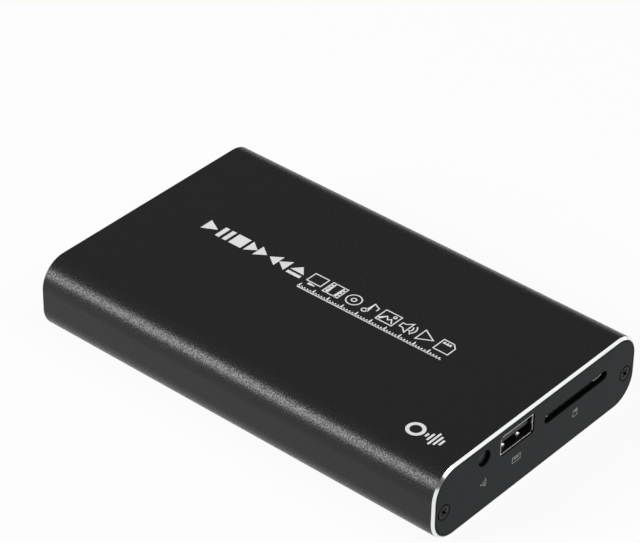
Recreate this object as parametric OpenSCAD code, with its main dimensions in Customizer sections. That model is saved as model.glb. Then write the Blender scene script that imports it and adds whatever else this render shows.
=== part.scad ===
// Media player in an extruded aluminium case. A folded tray behind the front panel
// carries a 2.5 inch hard drive and the main board, and slides out with the panel.
// Millimetres. +Z is up, the front panel faces -Y, and the origin is the middle of the underside.

/* [Case] */
// Width of the case
body_w = 82; // [76:0.5:90]
// Length of the case from front to rear
body_l = 132; // [120:1:160]
// Height of the case
body_h = 21.8; // [21.8:0.1:26]
// Radius of the four long edges
corner_r = 8; // [6:0.1:8.4]
// Thickness of the extruded wall
wall = 1.5; // [1.4:0.05:1.7]
// Width of the bright cut around each end
rim_chamfer = 0.76; // [0.4:0.02:0.9]
// Height of the two floor glides that the tray runs on
glide_h = 0.7; // [0.65:0.05:0.8]
// Running gap between the case and what slides in it
run_gap = 0.1; // [0.08:0.01:0.12]

/* [End panels] */
// Thickness of both end panels
panel_t = 1.6; // [1.5:0.1:2]
// Depth that a panel's seat is cut into the wall
seat_cut = 0.4; // [0.3:0.05:0.45]
// Gap around a panel in its seat
panel_gap = 0.12; // [0.05:0.01:0.2]
// Distance from the side of the case to the axis of a panel screw
screw_inset = 4.2; // [4.1:0.05:4.3]
// Distance from the shelf that carries the board down to the axis of a panel screw
screw_drop = 1.7; // [1.7:0.05:2]
// Thread diameter of the panel screws
screw_d = 2.5; // [2.3:0.1:2.6]
// Head diameter of the panel screws
screw_head_d = 4.7; // [4.3:0.1:4.9]
// Length of the panel screws
screw_l = 8; // [6:1:12]

/* [Tray] */
// Thickness of the folded sheet
sheet_t = 0.6; // [0.5:0.05:0.7]
// Gap between the drive and each side of the tray
tray_clear = 0.125; // [0.1:0.025:0.2]
// Height of the tray's sides
tray_side_h = 4.2; // [3:0.2:5]
// Travel that frees the drive from its socket
unplug_travel = 6.5; // [5.5:0.5:7]

/* [Hard drive] */
// Gap between the drive and the screw channel on each side of it
channel_gap = 0.225; // [0.1:0.025:0.4]
// Height of the drive
drive_h = 7; // [7:0.1:7.6]
// Distance from the front of the case to the drive
drive_setback = 16.5; // [16.5:0.5:18]
// Gap between the unplugged drive and the rear standoffs
drive_stop_gap = 1.25; // [0.5:0.25:3]
// Distance from the side and the rear of the drive to the platter
platter_edge = 2.425; // [2.325:0.05:3.425]
// Length of the arm from its pivot to the heads
arm_l = 34.5; // [34:0.1:35]

/* [Main board] */
// Thickness of the main board
board_t = 1.2; // [1:0.1:1.4]
// Gap between the drive and the main board
board_gap = 1.2; // [1.2:0.1:1.6]
// Outside diameter of the standoffs
standoff_d = 3.8; // [3.4:0.1:4]

/* [Front sockets] */
// Distance from the right side of the case to the middle of the card slot
card_inset = 25.44; // [25:0.02:25.6]
// Distance from the middle of the card slot to the middle of the USB-A socket
usb_pitch = 24.01; // [23.5:0.01:24.5]
// Distance from the middle of the USB-A socket to the infrared hole
ir_pitch = 13.15; // [12.2:0.05:14.5]
// Width of the USB-A shell
usb_w = 13.1; // [13:0.05:13.4]
// Height of the USB-A shell
usb_h = 5.72; // [5.6:0.02:5.8]
// Length of the USB-A shell
usb_l = 14; // [13:0.5:16]
// Width of the card slot in the panel
card_slot_w = 25.9; // [25.2:0.1:26.4]
// Height of the card slot in the panel
card_slot_h = 2.8; // [2.6:0.1:3]
// Diameter of the infrared hole
ir_d = 4.6; // [4.2:0.1:5]

/* [Rear sockets] */
// Distance from the left side of the case to the data socket
data_inset = 13.85; // [13:0.05:15]
// Distance from the right side of the case to the power socket
dc_inset = 16.85; // [15:0.05:18]

/* [Hidden] */

$fn = 64;
// How far a cut runs past the face it opens
past = 0.5;
// How far a rail or boss is rooted in what carries it
root = 0.3;
// Radial gap of a screw in its hole
screw_gap = 0.05;
// Gap that lies between two pieces that are clipped or pushed together
fit_gap = 0.05;
// Length of the tapered end of a screw
lead_in = 0.4;

// Case
in_w = body_w - 2 * wall;
in_h = body_h - 2 * wall;
in_r = corner_r - wall;
front_y = -body_l / 2;
rear_y = body_l / 2;
rim_wall = wall - seat_cut;
panel_w = body_w - 2 * (rim_wall + panel_gap);
panel_h = body_h - 2 * (rim_wall + panel_gap);
panel_r = corner_r - rim_wall - panel_gap;
panel_in_front = front_y + panel_t;
panel_in_rear = rear_y - panel_t;

// Heights, from the floor of the case up
tray_z = wall + glide_h + run_gap;
drive_z = tray_z + sheet_t;
board_z = drive_z + drive_h + board_gap;
board_top = board_z + board_t;
shelf_z = board_z - run_gap;
screw_z = shelf_z - screw_drop;
screw_x = body_w / 2 - screw_inset;
channel_r = screw_drop - fit_gap;
glide_x = 22;
glide_w = 3;
hold_w = 1.5;
hold_t = 0.8;
channel_front = panel_in_front + sheet_t + run_gap;
channel_rear = panel_in_rear - run_gap;
screw_head_h = (screw_head_d - screw_d) / 2;
screw_sink = 0.12;

// Tray, as wide inside as the drive that lies between the screw channels
drive_w = 2 * (screw_x - channel_r - channel_gap);
tray_w = drive_w + 2 * (tray_clear + sheet_t);
tray_front = panel_in_front;
tray_rear_gap = 1.5;
tray_rear = panel_in_rear - tray_rear_gap;
flange_gap = 0.2;
flange_top = board_z - flange_gap;
ear_w = 2.1;
lip_inset = 7.65;
lip_h = 2.7;
vent = [9, 3];
vent_pitch = 13;
vent_from = 30;

// Standoffs at the tray's corners, and their screws
standoff_inset = 3.05;
standoff_front_in = 8;
standoff_rear_in = 5.5;
standoff_x = tray_w / 2 - standoff_inset;
standoff_front = front_y + standoff_front_in;
standoff_rear = rear_y - standoff_rear_in;
standoff_bore_r = 1.05;
standoff_bore_l = 5;
standoff_spots = [for (x = [-standoff_x, standoff_x], y = [standoff_front, standoff_rear]) [x, y]];
shank_r = 1.4;
board_screw_r = 1;
board_screw_head_r = 1.9;
board_screw_head_t = 1.1;
board_screw_l = 6;
board_hole_gap = 0.15;

// Main board
board_side_gap = 0.6;
board_end_gap = 0.2;
board_w = in_w - 2 * board_side_gap;
board_front = panel_in_front + board_end_gap;
board_rear = panel_in_rear - board_end_gap;

// Drive, in its own frame: x across, y back from its plug end, z up from its underside
drive_y = front_y + drive_setback;
drive_l = standoff_rear - standoff_d / 2 - drive_stop_gap - unplug_travel - drive_y;
drive_corner_r = 2.5;
cover_t = 0.8;
base_h = drive_h - cover_t;
cavity_z = 2;
cavity_gap = 0.5;
arm_room = 32.9;
platter_r = min(drive_w / 2 - platter_edge, (drive_l - arm_room - platter_edge) / 2);
spindle = [0, drive_l - platter_edge - platter_r];
pivot_gap = 6.925;
pivot = [10, spindle[1] - platter_r - pivot_gap];
platter_z = 3.2;
platter_t = 0.65;
platter_bore_r = 10;
hub_flange_r = 11.5;
hub_t = 0.8;
bearing_r = 3;
bearing_z = [0.5, 2.3];
bearing_bore_r = 1.55;
shaft_r = 1.5;
clamp_t = 0.6;
clamp_hole_r = 0.8;
clamp_hole_at = 7.5;

// Mounting screws, cover screws and the drive's own board
mount_hole_in = 4.065;
mount_hole_x = drive_w / 2 - mount_hole_in;
mount_hole_y = [14, drive_l - 9.75];
mount_spots = [for (x = [-mount_hole_x, mount_hole_x], y = mount_hole_y) [x, y]];
mount_screw_r = 1.5;
mount_screw_l = 3;
mount_head_r = 3;
mount_head_t = 0.5;
mount_cross = [2.6, 0.7, 0.35];
slot_gap = 0.12;
slot_half_w = mount_screw_r + slot_gap;
drive_board_in = 7.925;
drive_board_w = drive_w - 2 * drive_board_in;
drive_board_l = 45;
drive_board_t = 0.8;
drive_board_gap = 0.3;
drive_board_recess = 1.2;
cover_screw_in = [3.425, 3.85];
cover_screw_mid = 38;
cover_screw_r = 0.8;
cover_head_r = 1.6;
cover_head_t = 0.35;
cover_screw_l = 2.4;
cover_screw_spots = [for (x = [cover_screw_in[0] - drive_w / 2, drive_w / 2 - cover_screw_in[0]],
                          y = [cover_screw_in[1], cover_screw_mid, drive_l - cover_screw_in[1]]) [x, y]];

// The arm parks with its heads just off the platter, and swings in to the smallest track
arm_reach = norm(spindle - pivot);
park_gap = 1.8;
parked_track = platter_r + park_gap;
inner_track = 14;
function arm_angle(track) = acos((arm_l ^ 2 + arm_reach ^ 2 - track ^ 2) / (2 * arm_l * arm_reach));
to_spindle = atan2(spindle[1] - pivot[1], spindle[0] - pivot[0]);
park_angle = to_spindle + arm_angle(parked_track);
arm_swing = arm_angle(parked_track) - arm_angle(inner_track);
arm_t = 0.5;
arm_gap = 0.35;
head_t = 0.15;
arm_levels = [platter_z - arm_gap - arm_t, platter_z + platter_t + arm_gap + fit_gap];
pivot_pin_r = 2.5;
arm_hub_r = 5.5;
arm_hub_gap = 0.15;
arm_hub_z = [cavity_z + arm_hub_gap, base_h - arm_hub_gap - fit_gap];
magnet_t = 0.6;
yoke_t = 0.4;
yoke_top_gap = 0.1;
yoke_r = [7, 17.7];
yoke_z = [cavity_z, base_h - yoke_top_gap - yoke_t];
coil_gap = 0.4;
coil_r = [8.2, 14.8];
coil_z = [yoke_z[0] + yoke_t + magnet_t + coil_gap, yoke_z[1] - magnet_t - coil_gap];
coil_half_angle = 20;
coil_wire_w = 1.8;
bay_r = 18;
post_r = 1;
post_at = 16.6;
ramp_w = 4;
ramp_l = 4.2;
ramp_gap = 0.1;
ramp_room = 0.6;
arm_taper = [[0, 4.5], [16, 2.6], [24, 1.6]];
head_taper = [[18, 1.8], [arm_l + 1.8, 0.5]];
magnet_from = park_angle - 180 - arm_swing - coil_half_angle;
magnet_sweep = arm_swing + 2 * coil_half_angle;

// Plug of the drive and the socket on the main board's underside
plug_x = -3;
plug_w = 43;
plug_l = 7;
plug_z = [drive_board_recess, base_h - 0.1];
pocket_w = 40;
pocket_d = 4.6;
pocket_z = [plug_z[0] + 0.7, plug_z[1] - 0.5];
socket_gap = 1.5;
tongue_setback = 0.4;
tongue_t = 1.2;
tongue_z = 3.2;
signal_tongue = [-18.4, -7.6];
power_tongue = [-3.6, 18.2];
nose_gap = 0.25;

// Front sockets
steel_t = 0.3;
card_x = body_w / 2 - card_inset;
usb_x = card_x - usb_pitch;
ir_x = usb_x - ir_pitch;
usb_seat = 1;
usb_z = board_top + usb_seat + usb_h / 2;
usb_setback = 0.3;
usb_front = front_y + usb_setback;
usb_r = 0.7;
usb_gap = 0.15;
usb_tongue_w = 11.2;
usb_tongue_t = 1.85;
usb_tongue_drop = 0.26;
usb_tongue_z = usb_z - usb_tongue_drop;
usb_tongue_front = usb_front + 1;
usb_back = usb_front + usb_l;
usb_leg_y = usb_front + 6;
usb_leg_l = 2.2;
usb_leg_out = 0.5;
usb_leg_gap = 0.2;
usb_window_x = [-3, 3];
usb_window_w = 2.4;
usb_window_y = [usb_front + 3, usb_front + 8];
usb_tab_w = 1.8;
usb_tab_bend = 6;
usb_plate_t = 1;
usb_plate_gap = 0.1;
usb_seat_in = 0.4;
usb_contact_x = [-3.5, -1, 1, 3.5];
usb_contact = [1, 0.12];

// Card socket
card_drop = 1.67;
card_z = board_top + card_drop;
card_socket_w = 28;
card_socket_l = 28.5;
card_socket_h = 3;
card_socket_front = board_front;
card_base_in = 0.6;
card_base_t = 0.5;
card_sheet_t = 0.2;
card_w = 24;
card_side_gap = 0.3;
card_bay_w = card_w + 2 * card_side_gap;
card_stop_t = 1.6;
card_latch = [6, 1];
card_latch_from = 9;
card_latch_pitch = 8;
card_contacts = 9;
card_contact = [1, 6.5, 0.3];
card_contact_pitch = 2.3;
card_contact_from = 10.4;
ejector_w = 1.1;
ejector_h = 1.5;
ejector_l = 12;
ejector_gap = 0.1;
ejector_side_gap = 0.15;
ejector_arm = [3, 1.2, 0.4];
ejector_travel = 3;
spring_room = 1.4;
card_left = card_x - card_socket_w / 2;
card_right = card_x + card_socket_w / 2;
card_back = card_socket_front + card_socket_l;
card_stop = card_back - card_stop_t;
card_floor = board_top + card_base_t;
card_roof = board_top + card_socket_h - card_sheet_t;
ejector_x = card_x + card_bay_w / 2 + ejector_side_gap;
ejector_back = card_stop - ejector_travel - spring_room;
ejector_z = card_floor + ejector_gap;
spring_turns = 5;
spring_r = 0.42;
spring_wire = 0.1;
spring_l = card_stop - ejector_back;

// Infrared window and receiver
ir_rise = 4.46;
ir_z = board_top + ir_rise;
ir_window_t = 0.5;
ir_flange_r = 3.1;
ir_flange_t = 0.4;
ir_gap = 1;
ir_body = [6, 2.6, 6.4];
ir_lens_r = 2.1;
ir_lens_out = 0.9;
ir_leg = [0.5, 0.4];
ir_leg_pitch = 1.8;

// Rear sockets
port_setback = 0.4;
port_rear = rear_y - port_setback;
port_gap = 0.2;
port_back_t = 1;
tongue_back = 1;
hdmi_w = 15;
hdmi_h = 6;
hdmi_l = 12;
hdmi_bevel = 2;
hdmi_z = board_top + hdmi_h / 2;
hdmi_tongue_w = 10.4;
hdmi_tongue_z = [0.1, 1.7];
hdmi_plug = [10, 7];
av_bore_r = 1.8;
av_collar_r = 2.8;
av_body = [6.4, 12.5, 5.8];
av_z = board_top + av_body[2] / 2;
dc_bore_r = 2;
dc_pin_r = 0.65;
dc_body = [7.4, 10, 6.6];
dc_z = board_top + dc_body[2] / 2;
dc_collar_r = 3.1;
data_w = [7.9, 4.4];
data_h = [2.9, 2.3];
data_l = 9;
data_lap = 0.4;
data_z = board_top + data_h[0] / 2;
data_tongue_in = 0.9;
data_tongue_lap = 0.6;
data_tongue_z = [1, 1.6];

// The four rear sockets share the width between the first and the last evenly
data_full_w = data_w[0] + data_w[1];
rear_gap = (body_w - data_inset - dc_inset - data_full_w - av_body[0] - hdmi_w - dc_body[0]) / 3;
data_x = data_inset - body_w / 2 + data_full_w / 2;
av_x = data_x + data_full_w / 2 + rear_gap + av_body[0] / 2;
hdmi_x = av_x + av_body[0] / 2 + rear_gap + hdmi_w / 2;
dc_x = hdmi_x + hdmi_w / 2 + rear_gap + dc_body[0] / 2;

// Parts on the main board
chip = [17, 17, 1.4];
chip_x = -4;
chip_behind_card = 13.7;
chip_at = [chip_x, card_back + chip_behind_card];
pad_in = 1;
pad_t = 0.5;
memory = [9, 12, 1.1];
memory_in = [10.9, 18.9];
memory_behind_card = [6.7, 21.7];
memory_spots = [for (x = [memory_in[0] - board_w / 2, board_w / 2 - memory_in[1]], y = memory_behind_card)
                [x, card_back + y]];
bridge = [9, 9, 1];
bridge_in = 16.9;
bridge_behind_chip = 32;
bridge_at = [bridge_in - board_w / 2, chip_at[1] + bridge_behind_chip];
crystal = [11.2, 4.6, 3.4];
crystal_x = -6;
crystal_behind_chip = 28;
crystal_at = [crystal_x, chip_at[1] + crystal_behind_chip];
inductor = [6.6, 6.6, 2.8];
inductor_r = 2.6;
inductor_h = 3.2;
inductor_pitch = 8;
inductor_in = 8.9;
inductor_ahead = 20.2;
inductor_x = board_w / 2 - inductor_in;
inductor_y = board_rear - inductor_ahead;
inductor_spots = [for (k = [0:2]) [inductor_x - k * inductor_pitch, inductor_y]];
can_seat = [5.4, 5.4, 0.8];
can_r = 2.5;
can_h = 5.4;
can_right_ahead = 14;
can_left_ahead = [8, 18];
can_spots = concat([for (k = [0, 1]) [inductor_x - k * inductor_pitch, inductor_y - can_right_ahead]],
                   [for (ahead = can_left_ahead) [-inductor_x, inductor_y - ahead]]);
sink_w = 22;
sink_base_t = 1.4;
sink_fin_h = 3.6;
sink_fins = 7;
sink_fin_t = 0.8;

// Colours
black_anodised = "#232325";
panel_black = "#35373a";
screw_black = "#1b1b1c";
zinc_steel = "#b9bcbe";
bright_steel = "#c9ccce";
board_green = "#1f4a34";
plastic_black = "#141416";
gold = "#d9ae52";
window_dark = "#1a1416";
chip_grey = "#2b2c2e";
pad_grey = "#8f98a3";
cast_aluminium = "#a5a8aa";
platter_silver = "#d5d8da";
copper = "#b4693a";
ramp_white = "#e2dfd3";

// A box between two opposite corners
module block(low, high) translate(low) cube(high - low);

// A rounded rectangle about the origin
module rounded(w, h, r) {
    square([w - 2 * r, h], center = true);
    square([w, h - 2 * r], center = true);
    for (x = [-1, 1], y = [-1, 1])
        translate([x * (w / 2 - r), y * (h / 2 - r)]) circle(r);
}

// A flat outline drawn in x and z, given its thickness from y0 to y1
module along_y(y0, y1) translate([0, y1, 0]) rotate([90, 0, 0]) linear_extrude(y1 - y0) children();

// A round bar along y
module rod_y(x, z, r, y0, y1) translate([x, y0, z]) rotate([-90, 0, 0]) cylinder(r = r, h = y1 - y0);

// Copies on the left and on the right
module both_sides() for (side = [0, 1]) mirror([side, 0, 0]) children();

// A bar along y with rounded long edges and both ends cut at 45 degrees
module chamfered_bar(w, h, r, l, c) {
    edge = [[0, 0], [r - c, 0], [r, c], [r, l - c], [r - c, l], [0, l]];
    for (k = [0:3]) {
        x = (k == 0 || k == 3 ? 1 : -1) * (w / 2 - r);
        z = k < 2 ? h - r : r;
        translate([x, l / 2, z]) rotate([90, 0, 0]) rotate([0, 0, 90 * k])
            rotate_extrude(angle = 90) polygon(edge);
    }
    translate([r - w / 2, 0, 0]) rotate([90, 0, 90]) linear_extrude(w - 2 * r)
        polygon([[-l / 2, c], [c - l / 2, 0], [l / 2 - c, 0], [l / 2, c],
                 [l / 2, h - c], [l / 2 - c, h], [c - l / 2, h], [-l / 2, h - c]]);
    for (s = [-1, 1])
        translate([0, 0, r]) linear_extrude(h - 2 * r)
            polygon([[s * (w / 2 - r), -l / 2], [s * (w / 2 - c), -l / 2], [s * w / 2, c - l / 2],
                     [s * w / 2, l / 2 - c], [s * (w / 2 - c), l / 2], [s * (w / 2 - r), l / 2]]);
}

// The shank of a screw below z = 0, with a short lead-in at its end
module shank(d, length) {
    translate([0, 0, lead_in - length]) cylinder(d = d, h = length - lead_in);
    translate([0, 0, -length]) cylinder(d1 = d - lead_in, d2 = d, h = lead_in);
}

// A cross recess cut down from z = 0
module cross_recess(w, t, deep)
    for (turn = [45, 135]) rotate([0, 0, turn]) translate([-w / 2, -t / 2, -deep]) cube([w, t, deep + past]);

// Screws with the top of the head at z = 0
module countersunk_screw(d, head_d, length) difference() {
    union() {
        translate([0, 0, (d - head_d) / 2]) cylinder(d1 = d, d2 = head_d, h = (head_d - d) / 2);
        shank(d, length);
    }
    cross_recess(0.53 * head_d, 0.65, 0.9);
}

module pan_screw(d, head_d, head_h, length) difference() {
    union() {
        translate([0, 0, -head_h]) cylinder(d = head_d, h = head_h);
        shank(d, length);
    }
    cross_recess(0.53 * head_d, 0.5, 0.7);
}

// ---- Case ----

module channel(side) {
    x = side * screw_x;
    rod_y(x, screw_z, channel_r, channel_front, channel_rear);
    wall_x = side * (in_w / 2 + root);
    block([min(x, wall_x), channel_front, screw_z], [max(x, wall_x), channel_rear, shelf_z]);
}

module housing_sleeve() color(black_anodised) difference() {
    union() {
        difference() {
            chamfered_bar(body_w, body_h, corner_r, body_l, rim_chamfer);
            translate([0, 0, body_h / 2]) {
                along_y(front_y - past, rear_y + past) rounded(in_w, in_h, in_r);
                along_y(front_y - past, panel_in_front)
                    rounded(in_w + 2 * seat_cut, in_h + 2 * seat_cut, in_r + seat_cut);
                along_y(panel_in_rear, rear_y + past)
                    rounded(in_w + 2 * seat_cut, in_h + 2 * seat_cut, in_r + seat_cut);
            }
        }
        for (side = [-1, 1]) channel(side);
        both_sides() {
            block([in_w / 2 - hold_w, channel_front, board_top + run_gap],
                  [in_w / 2 + root, channel_rear, board_top + run_gap + hold_t]);
            block([glide_x, channel_front, wall - root], [glide_x + glide_w, channel_rear, wall + glide_h]);
        }
    }
    for (side = [-1, 1])
        rod_y(side * screw_x, screw_z, screw_d / 2 + screw_gap, channel_front - past, channel_rear + past);
}

// A panel with its two countersunk holes: face is the outer face, and out is -1 at the front, 1 at the rear
module panel_blank(face, out) difference() {
    back = face - out * panel_t;
    translate([0, 0, body_h / 2]) along_y(min(face, back), max(face, back)) rounded(panel_w, panel_h, panel_r);
    for (side = [-1, 1]) translate([side * screw_x, face, screw_z]) rotate([-90 * out, 0, 0]) {
        translate([0, 0, -panel_t - past]) cylinder(r = screw_d / 2 + 2 * screw_gap, h = panel_t + 2 * past);
        translate([0, 0, -screw_head_h]) cylinder(d1 = screw_d, d2 = screw_head_d, h = screw_head_h);
        cylinder(d = screw_head_d, h = past);
    }
}

module panel_screws(face, out)
    for (side = [-1, 1]) translate([side * screw_x, face, screw_z]) rotate([-90 * out, 0, 0])
        translate([0, 0, -screw_sink])
            countersunk_screw(screw_d, screw_head_d - 2 * screw_sink - 2 * fit_gap, screw_l);

module front_panel() color(panel_black) difference() {
    panel_blank(front_y, -1);
    rod_y(ir_x, ir_z, ir_d / 2, front_y - past, panel_in_front + past);
    translate([usb_x, 0, usb_z]) along_y(front_y - past, panel_in_front + past)
        rounded(usb_w + 2 * usb_gap, usb_h + 2 * usb_gap, usb_r + usb_gap);
    translate([card_x, 0, card_z]) along_y(front_y - past, panel_in_front + past)
        slot(card_slot_w, card_slot_h);
}

// A slot with round ends, centred on the origin
module slot(w, h) {
    square([w - h, h], center = true);
    for (x = [-1, 1]) translate([x * (w - h) / 2, 0]) circle(h / 2);
}

module front_panel_screws() color(screw_black) panel_screws(front_y, -1);

module rear_panel() color(panel_black) difference() {
    panel_blank(rear_y, 1);
    rod_y(dc_x, dc_z, dc_collar_r + port_gap, panel_in_rear - past, rear_y + past);
    rod_y(av_x, av_z, av_collar_r + port_gap, panel_in_rear - past, rear_y + past);
    along_y(panel_in_rear - past, rear_y + past) {
        hdmi_outline(port_gap);
        data_outline(port_gap);
    }
}

module rear_panel_screws() color(screw_black) panel_screws(rear_y, 1);

// ---- Tray ----

module drive_tray() color(zinc_steel) difference() {
    union() {
        block([-tray_w / 2, tray_front, tray_z], [tray_w / 2, tray_rear, tray_z + sheet_t]);
        both_sides() {
            block([tray_w / 2 - sheet_t, tray_front, tray_z], [tray_w / 2, tray_rear, tray_z + tray_side_h]);
            block([tray_w / 2 - root, tray_front, screw_z - ear_w],
                  [screw_x + ear_w, tray_front + sheet_t, flange_top]);
        }
        block([-tray_w / 2, tray_front, tray_z], [tray_w / 2, tray_front + sheet_t, flange_top]);
        block([lip_inset - tray_w / 2, tray_rear - sheet_t, tray_z],
              [tray_w / 2 - lip_inset, tray_rear, tray_z + lip_h]);
    }
    for (side = [-1, 1])
        rod_y(side * screw_x, screw_z, screw_d / 2 + 2 * screw_gap,
              tray_front - past, tray_front + sheet_t + past);
    translate([0, 0, tray_z - past]) linear_extrude(sheet_t + 2 * past) {
        for (spot = mount_spots) translate([spot[0], drive_y + spot[1] + unplug_travel / 2])
            rotate(90) slot(2 * slot_half_w + unplug_travel, 2 * slot_half_w);
        for (spot = standoff_spots) translate(spot) circle(shank_r + fit_gap);
        for (x = [-1:1], y = [0:3]) translate([x * vent_pitch, drive_y + vent_from + y * vent_pitch])
            slot(vent[0], vent[1]);
    }
}

module board_standoffs() color(bright_steel)
    for (spot = standoff_spots) translate(spot) difference() {
        union() {
            translate([0, 0, tray_z]) cylinder(r = shank_r, h = board_z - tray_z);
            translate([0, 0, drive_z]) cylinder(d = standoff_d, h = board_z - drive_z);
        }
        translate([0, 0, board_z - standoff_bore_l]) cylinder(r = standoff_bore_r, h = standoff_bore_l + past);
    }

module board_screws() color(bright_steel)
    for (spot = standoff_spots)
        translate([spot[0], spot[1], board_top + board_screw_head_t])
            pan_screw(2 * board_screw_r, 2 * board_screw_head_r, board_screw_head_t, board_screw_l);

// ---- Main board ----

module main_board() color(board_green) difference() {
    block([-board_w / 2, board_front, board_z], [board_w / 2, board_rear, board_top]);
    for (spot = standoff_spots) translate([spot[0], spot[1], board_z - past])
        cylinder(r = board_screw_r + board_hole_gap, h = board_t + 2 * past);
    for (side = [-1, 1]) usb_leg(side, usb_leg_gap);
}

// One leg of the USB-A shell, with a gap around it where it passes through the board
module usb_leg(side, gap) {
    outer = side * usb_w / 2;
    inner = side * (usb_w / 2 - steel_t);
    block([usb_x + min(outer, inner) - gap, usb_leg_y - gap, board_z - usb_leg_out],
          [usb_x + max(outer, inner) + gap, usb_leg_y + usb_leg_l + gap, usb_z]);
}

module ir_window() color(window_dark) {
    rod_y(ir_x, ir_z, ir_d / 2 - fit_gap, panel_in_front - ir_window_t, panel_in_front + ir_flange_t);
    rod_y(ir_x, ir_z, ir_flange_r, panel_in_front, panel_in_front + ir_flange_t);
}

module ir_receiver() color(window_dark) {
    front = panel_in_front + ir_flange_t + ir_gap;
    low = ir_z - ir_body[2] / 2;
    block([ir_x - ir_body[0] / 2, front, low], [ir_x + ir_body[0] / 2, front + ir_body[1], low + ir_body[2]]);
    rod_y(ir_x, ir_z, ir_lens_r, front - ir_lens_out, front + root);
    for (k = [-1:1]) translate([ir_x + k * ir_leg_pitch, front + 1, 0])
        block([-ir_leg[0] / 2, 0, board_top], [ir_leg[0] / 2, ir_leg[1], low + root]);
}

module usb_host_shell() color(bright_steel) {
    difference() {
        translate([usb_x, 0, usb_z]) along_y(usb_front, usb_back) rounded(usb_w, usb_h, usb_r);
        translate([usb_x, 0, usb_z]) along_y(usb_front - past, usb_back + past)
            rounded(usb_w - 2 * steel_t, usb_h - 2 * steel_t, usb_r - steel_t);
        for (x = usb_window_x)
            block([usb_x + x - usb_window_w / 2, usb_window_y[0], usb_z - usb_h],
                  [usb_x + x + usb_window_w / 2, usb_window_y[1], usb_z + usb_h]);
    }
    // Sprung tabs that grip the plug, each bent in from the front edge of its window
    for (x = usb_window_x, up = [-1, 1])
        translate([usb_x + x - usb_tab_w / 2, usb_window_y[0], usb_z + up * (usb_h - steel_t) / 2])
            rotate([-up * usb_tab_bend, 0, 0]) translate([0, -root, -steel_t / 2])
                cube([usb_tab_w, usb_window_y[1] - usb_window_y[0], steel_t]);
    for (side = [-1, 1]) usb_leg(side, 0);
}

module usb_host_tongue() color(plastic_black) {
    block([usb_x - usb_tongue_w / 2, usb_tongue_front, usb_tongue_z],
          [usb_x + usb_tongue_w / 2, usb_back - 2, usb_tongue_z + usb_tongue_t]);
    inner_w = usb_w - 2 * steel_t - 2 * usb_plate_gap;
    inner_h = usb_h - 2 * steel_t - 2 * usb_plate_gap;
    rear = usb_back + usb_plate_t;
    block([usb_x - inner_w / 2, usb_back - 3, usb_z - inner_h / 2],
          [usb_x + inner_w / 2, rear, usb_z + inner_h / 2]);
    block([usb_x - inner_w / 2, usb_back + usb_plate_gap, board_top], [usb_x + inner_w / 2, rear, usb_z]);
    seat_w = usb_w - 2 * steel_t - 2 * usb_seat_in;
    block([usb_x - seat_w / 2, board_front + usb_seat_in, board_top],
          [usb_x + seat_w / 2, rear, board_top + usb_seat - fit_gap]);
}

module usb_host_contacts() color(gold)
    for (x = usb_contact_x)
        block([usb_x + x - usb_contact[0] / 2, usb_tongue_front + 0.5, usb_tongue_z - usb_contact[1]],
              [usb_x + x + usb_contact[0] / 2, usb_back - 3, usb_tongue_z]);

// ---- Card socket ----

module card_socket_base() color(plastic_black) {
    left = card_left + card_sheet_t;
    right = card_right - card_sheet_t;
    front = card_socket_front + card_base_in;
    top = card_roof - fit_gap;
    block([left, front, board_top], [right, card_back, card_floor]);
    block([left, front, board_top], [card_x - card_bay_w / 2, card_back, top]);
    block([left, card_stop, board_top], [right, card_back, top]);
}

module card_socket_shell() color(bright_steel) difference() {
    block([card_left, card_socket_front, board_top], [card_right, card_back, card_roof + card_sheet_t]);
    block([card_left + card_sheet_t, card_socket_front - past, board_top - past],
          [card_right - card_sheet_t, card_back + past, card_roof]);
    for (k = [0, 1])
        translate([card_x - 7, card_socket_front + card_latch_from + k * card_latch_pitch, card_roof - past])
            cube([card_latch[0], card_latch[1], 2 * past + card_sheet_t]);
}

module card_socket_contacts() color(gold)
    for (k = [0:card_contacts - 1]) {
        x = card_x - card_contact_from + k * card_contact_pitch;
        translate([x, card_stop - card_contact[1], card_floor]) cube(card_contact);
    }

module card_ejector() color(ramp_white) {
    block([ejector_x, ejector_back - ejector_l, ejector_z],
          [ejector_x + ejector_w, ejector_back, ejector_z + ejector_h]);
    block([ejector_x - ejector_arm[0], ejector_back - ejector_arm[1], ejector_z + ejector_arm[2]],
          [ejector_x + root, ejector_back, ejector_z + ejector_h]);
}

// A light coil spring between the slide and the back of the socket
module card_ejector_spring() color(bright_steel)
    translate([ejector_x + ejector_w / 2, ejector_back, ejector_z + ejector_h / 2]) rotate([-90, 0, 0])
        wound_wire(spring_r, spring_wire, spring_l, spring_turns);

// One wire wound about z from z = 0 to z = l: rings of six points, eight rings a turn
module wound_wire(r, wire, l, turns) {
    rings = 8 * turns;
    sides = 6;
    function at(k) = [r * cos(45 * k), r * sin(45 * k), wire + (l - 2 * wire) * k / rings];
    function ring(k) = let (out = [cos(45 * k), sin(45 * k), 0])
        [for (s = [0:sides - 1]) at(k) + wire * (cos(60 * s) * out + sin(60 * s) * [0, 0, 1])];
    points = [for (k = [0:rings]) each ring(k)];
    walls = [for (k = [0:rings - 1], s = [0:sides - 1])
        let (a = sides * k + s, b = sides * k + (s + 1) % sides)
        each [[a, b, b + sides], [a, b + sides, a + sides]]];
    last = sides * rings;
    ends = [for (s = [1:sides - 2]) each [[0, s + 1, s], [last, last + s, last + s + 1]]];
    polyhedron(points, concat(walls, ends));
}

// ---- Drive socket under the board ----

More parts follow.
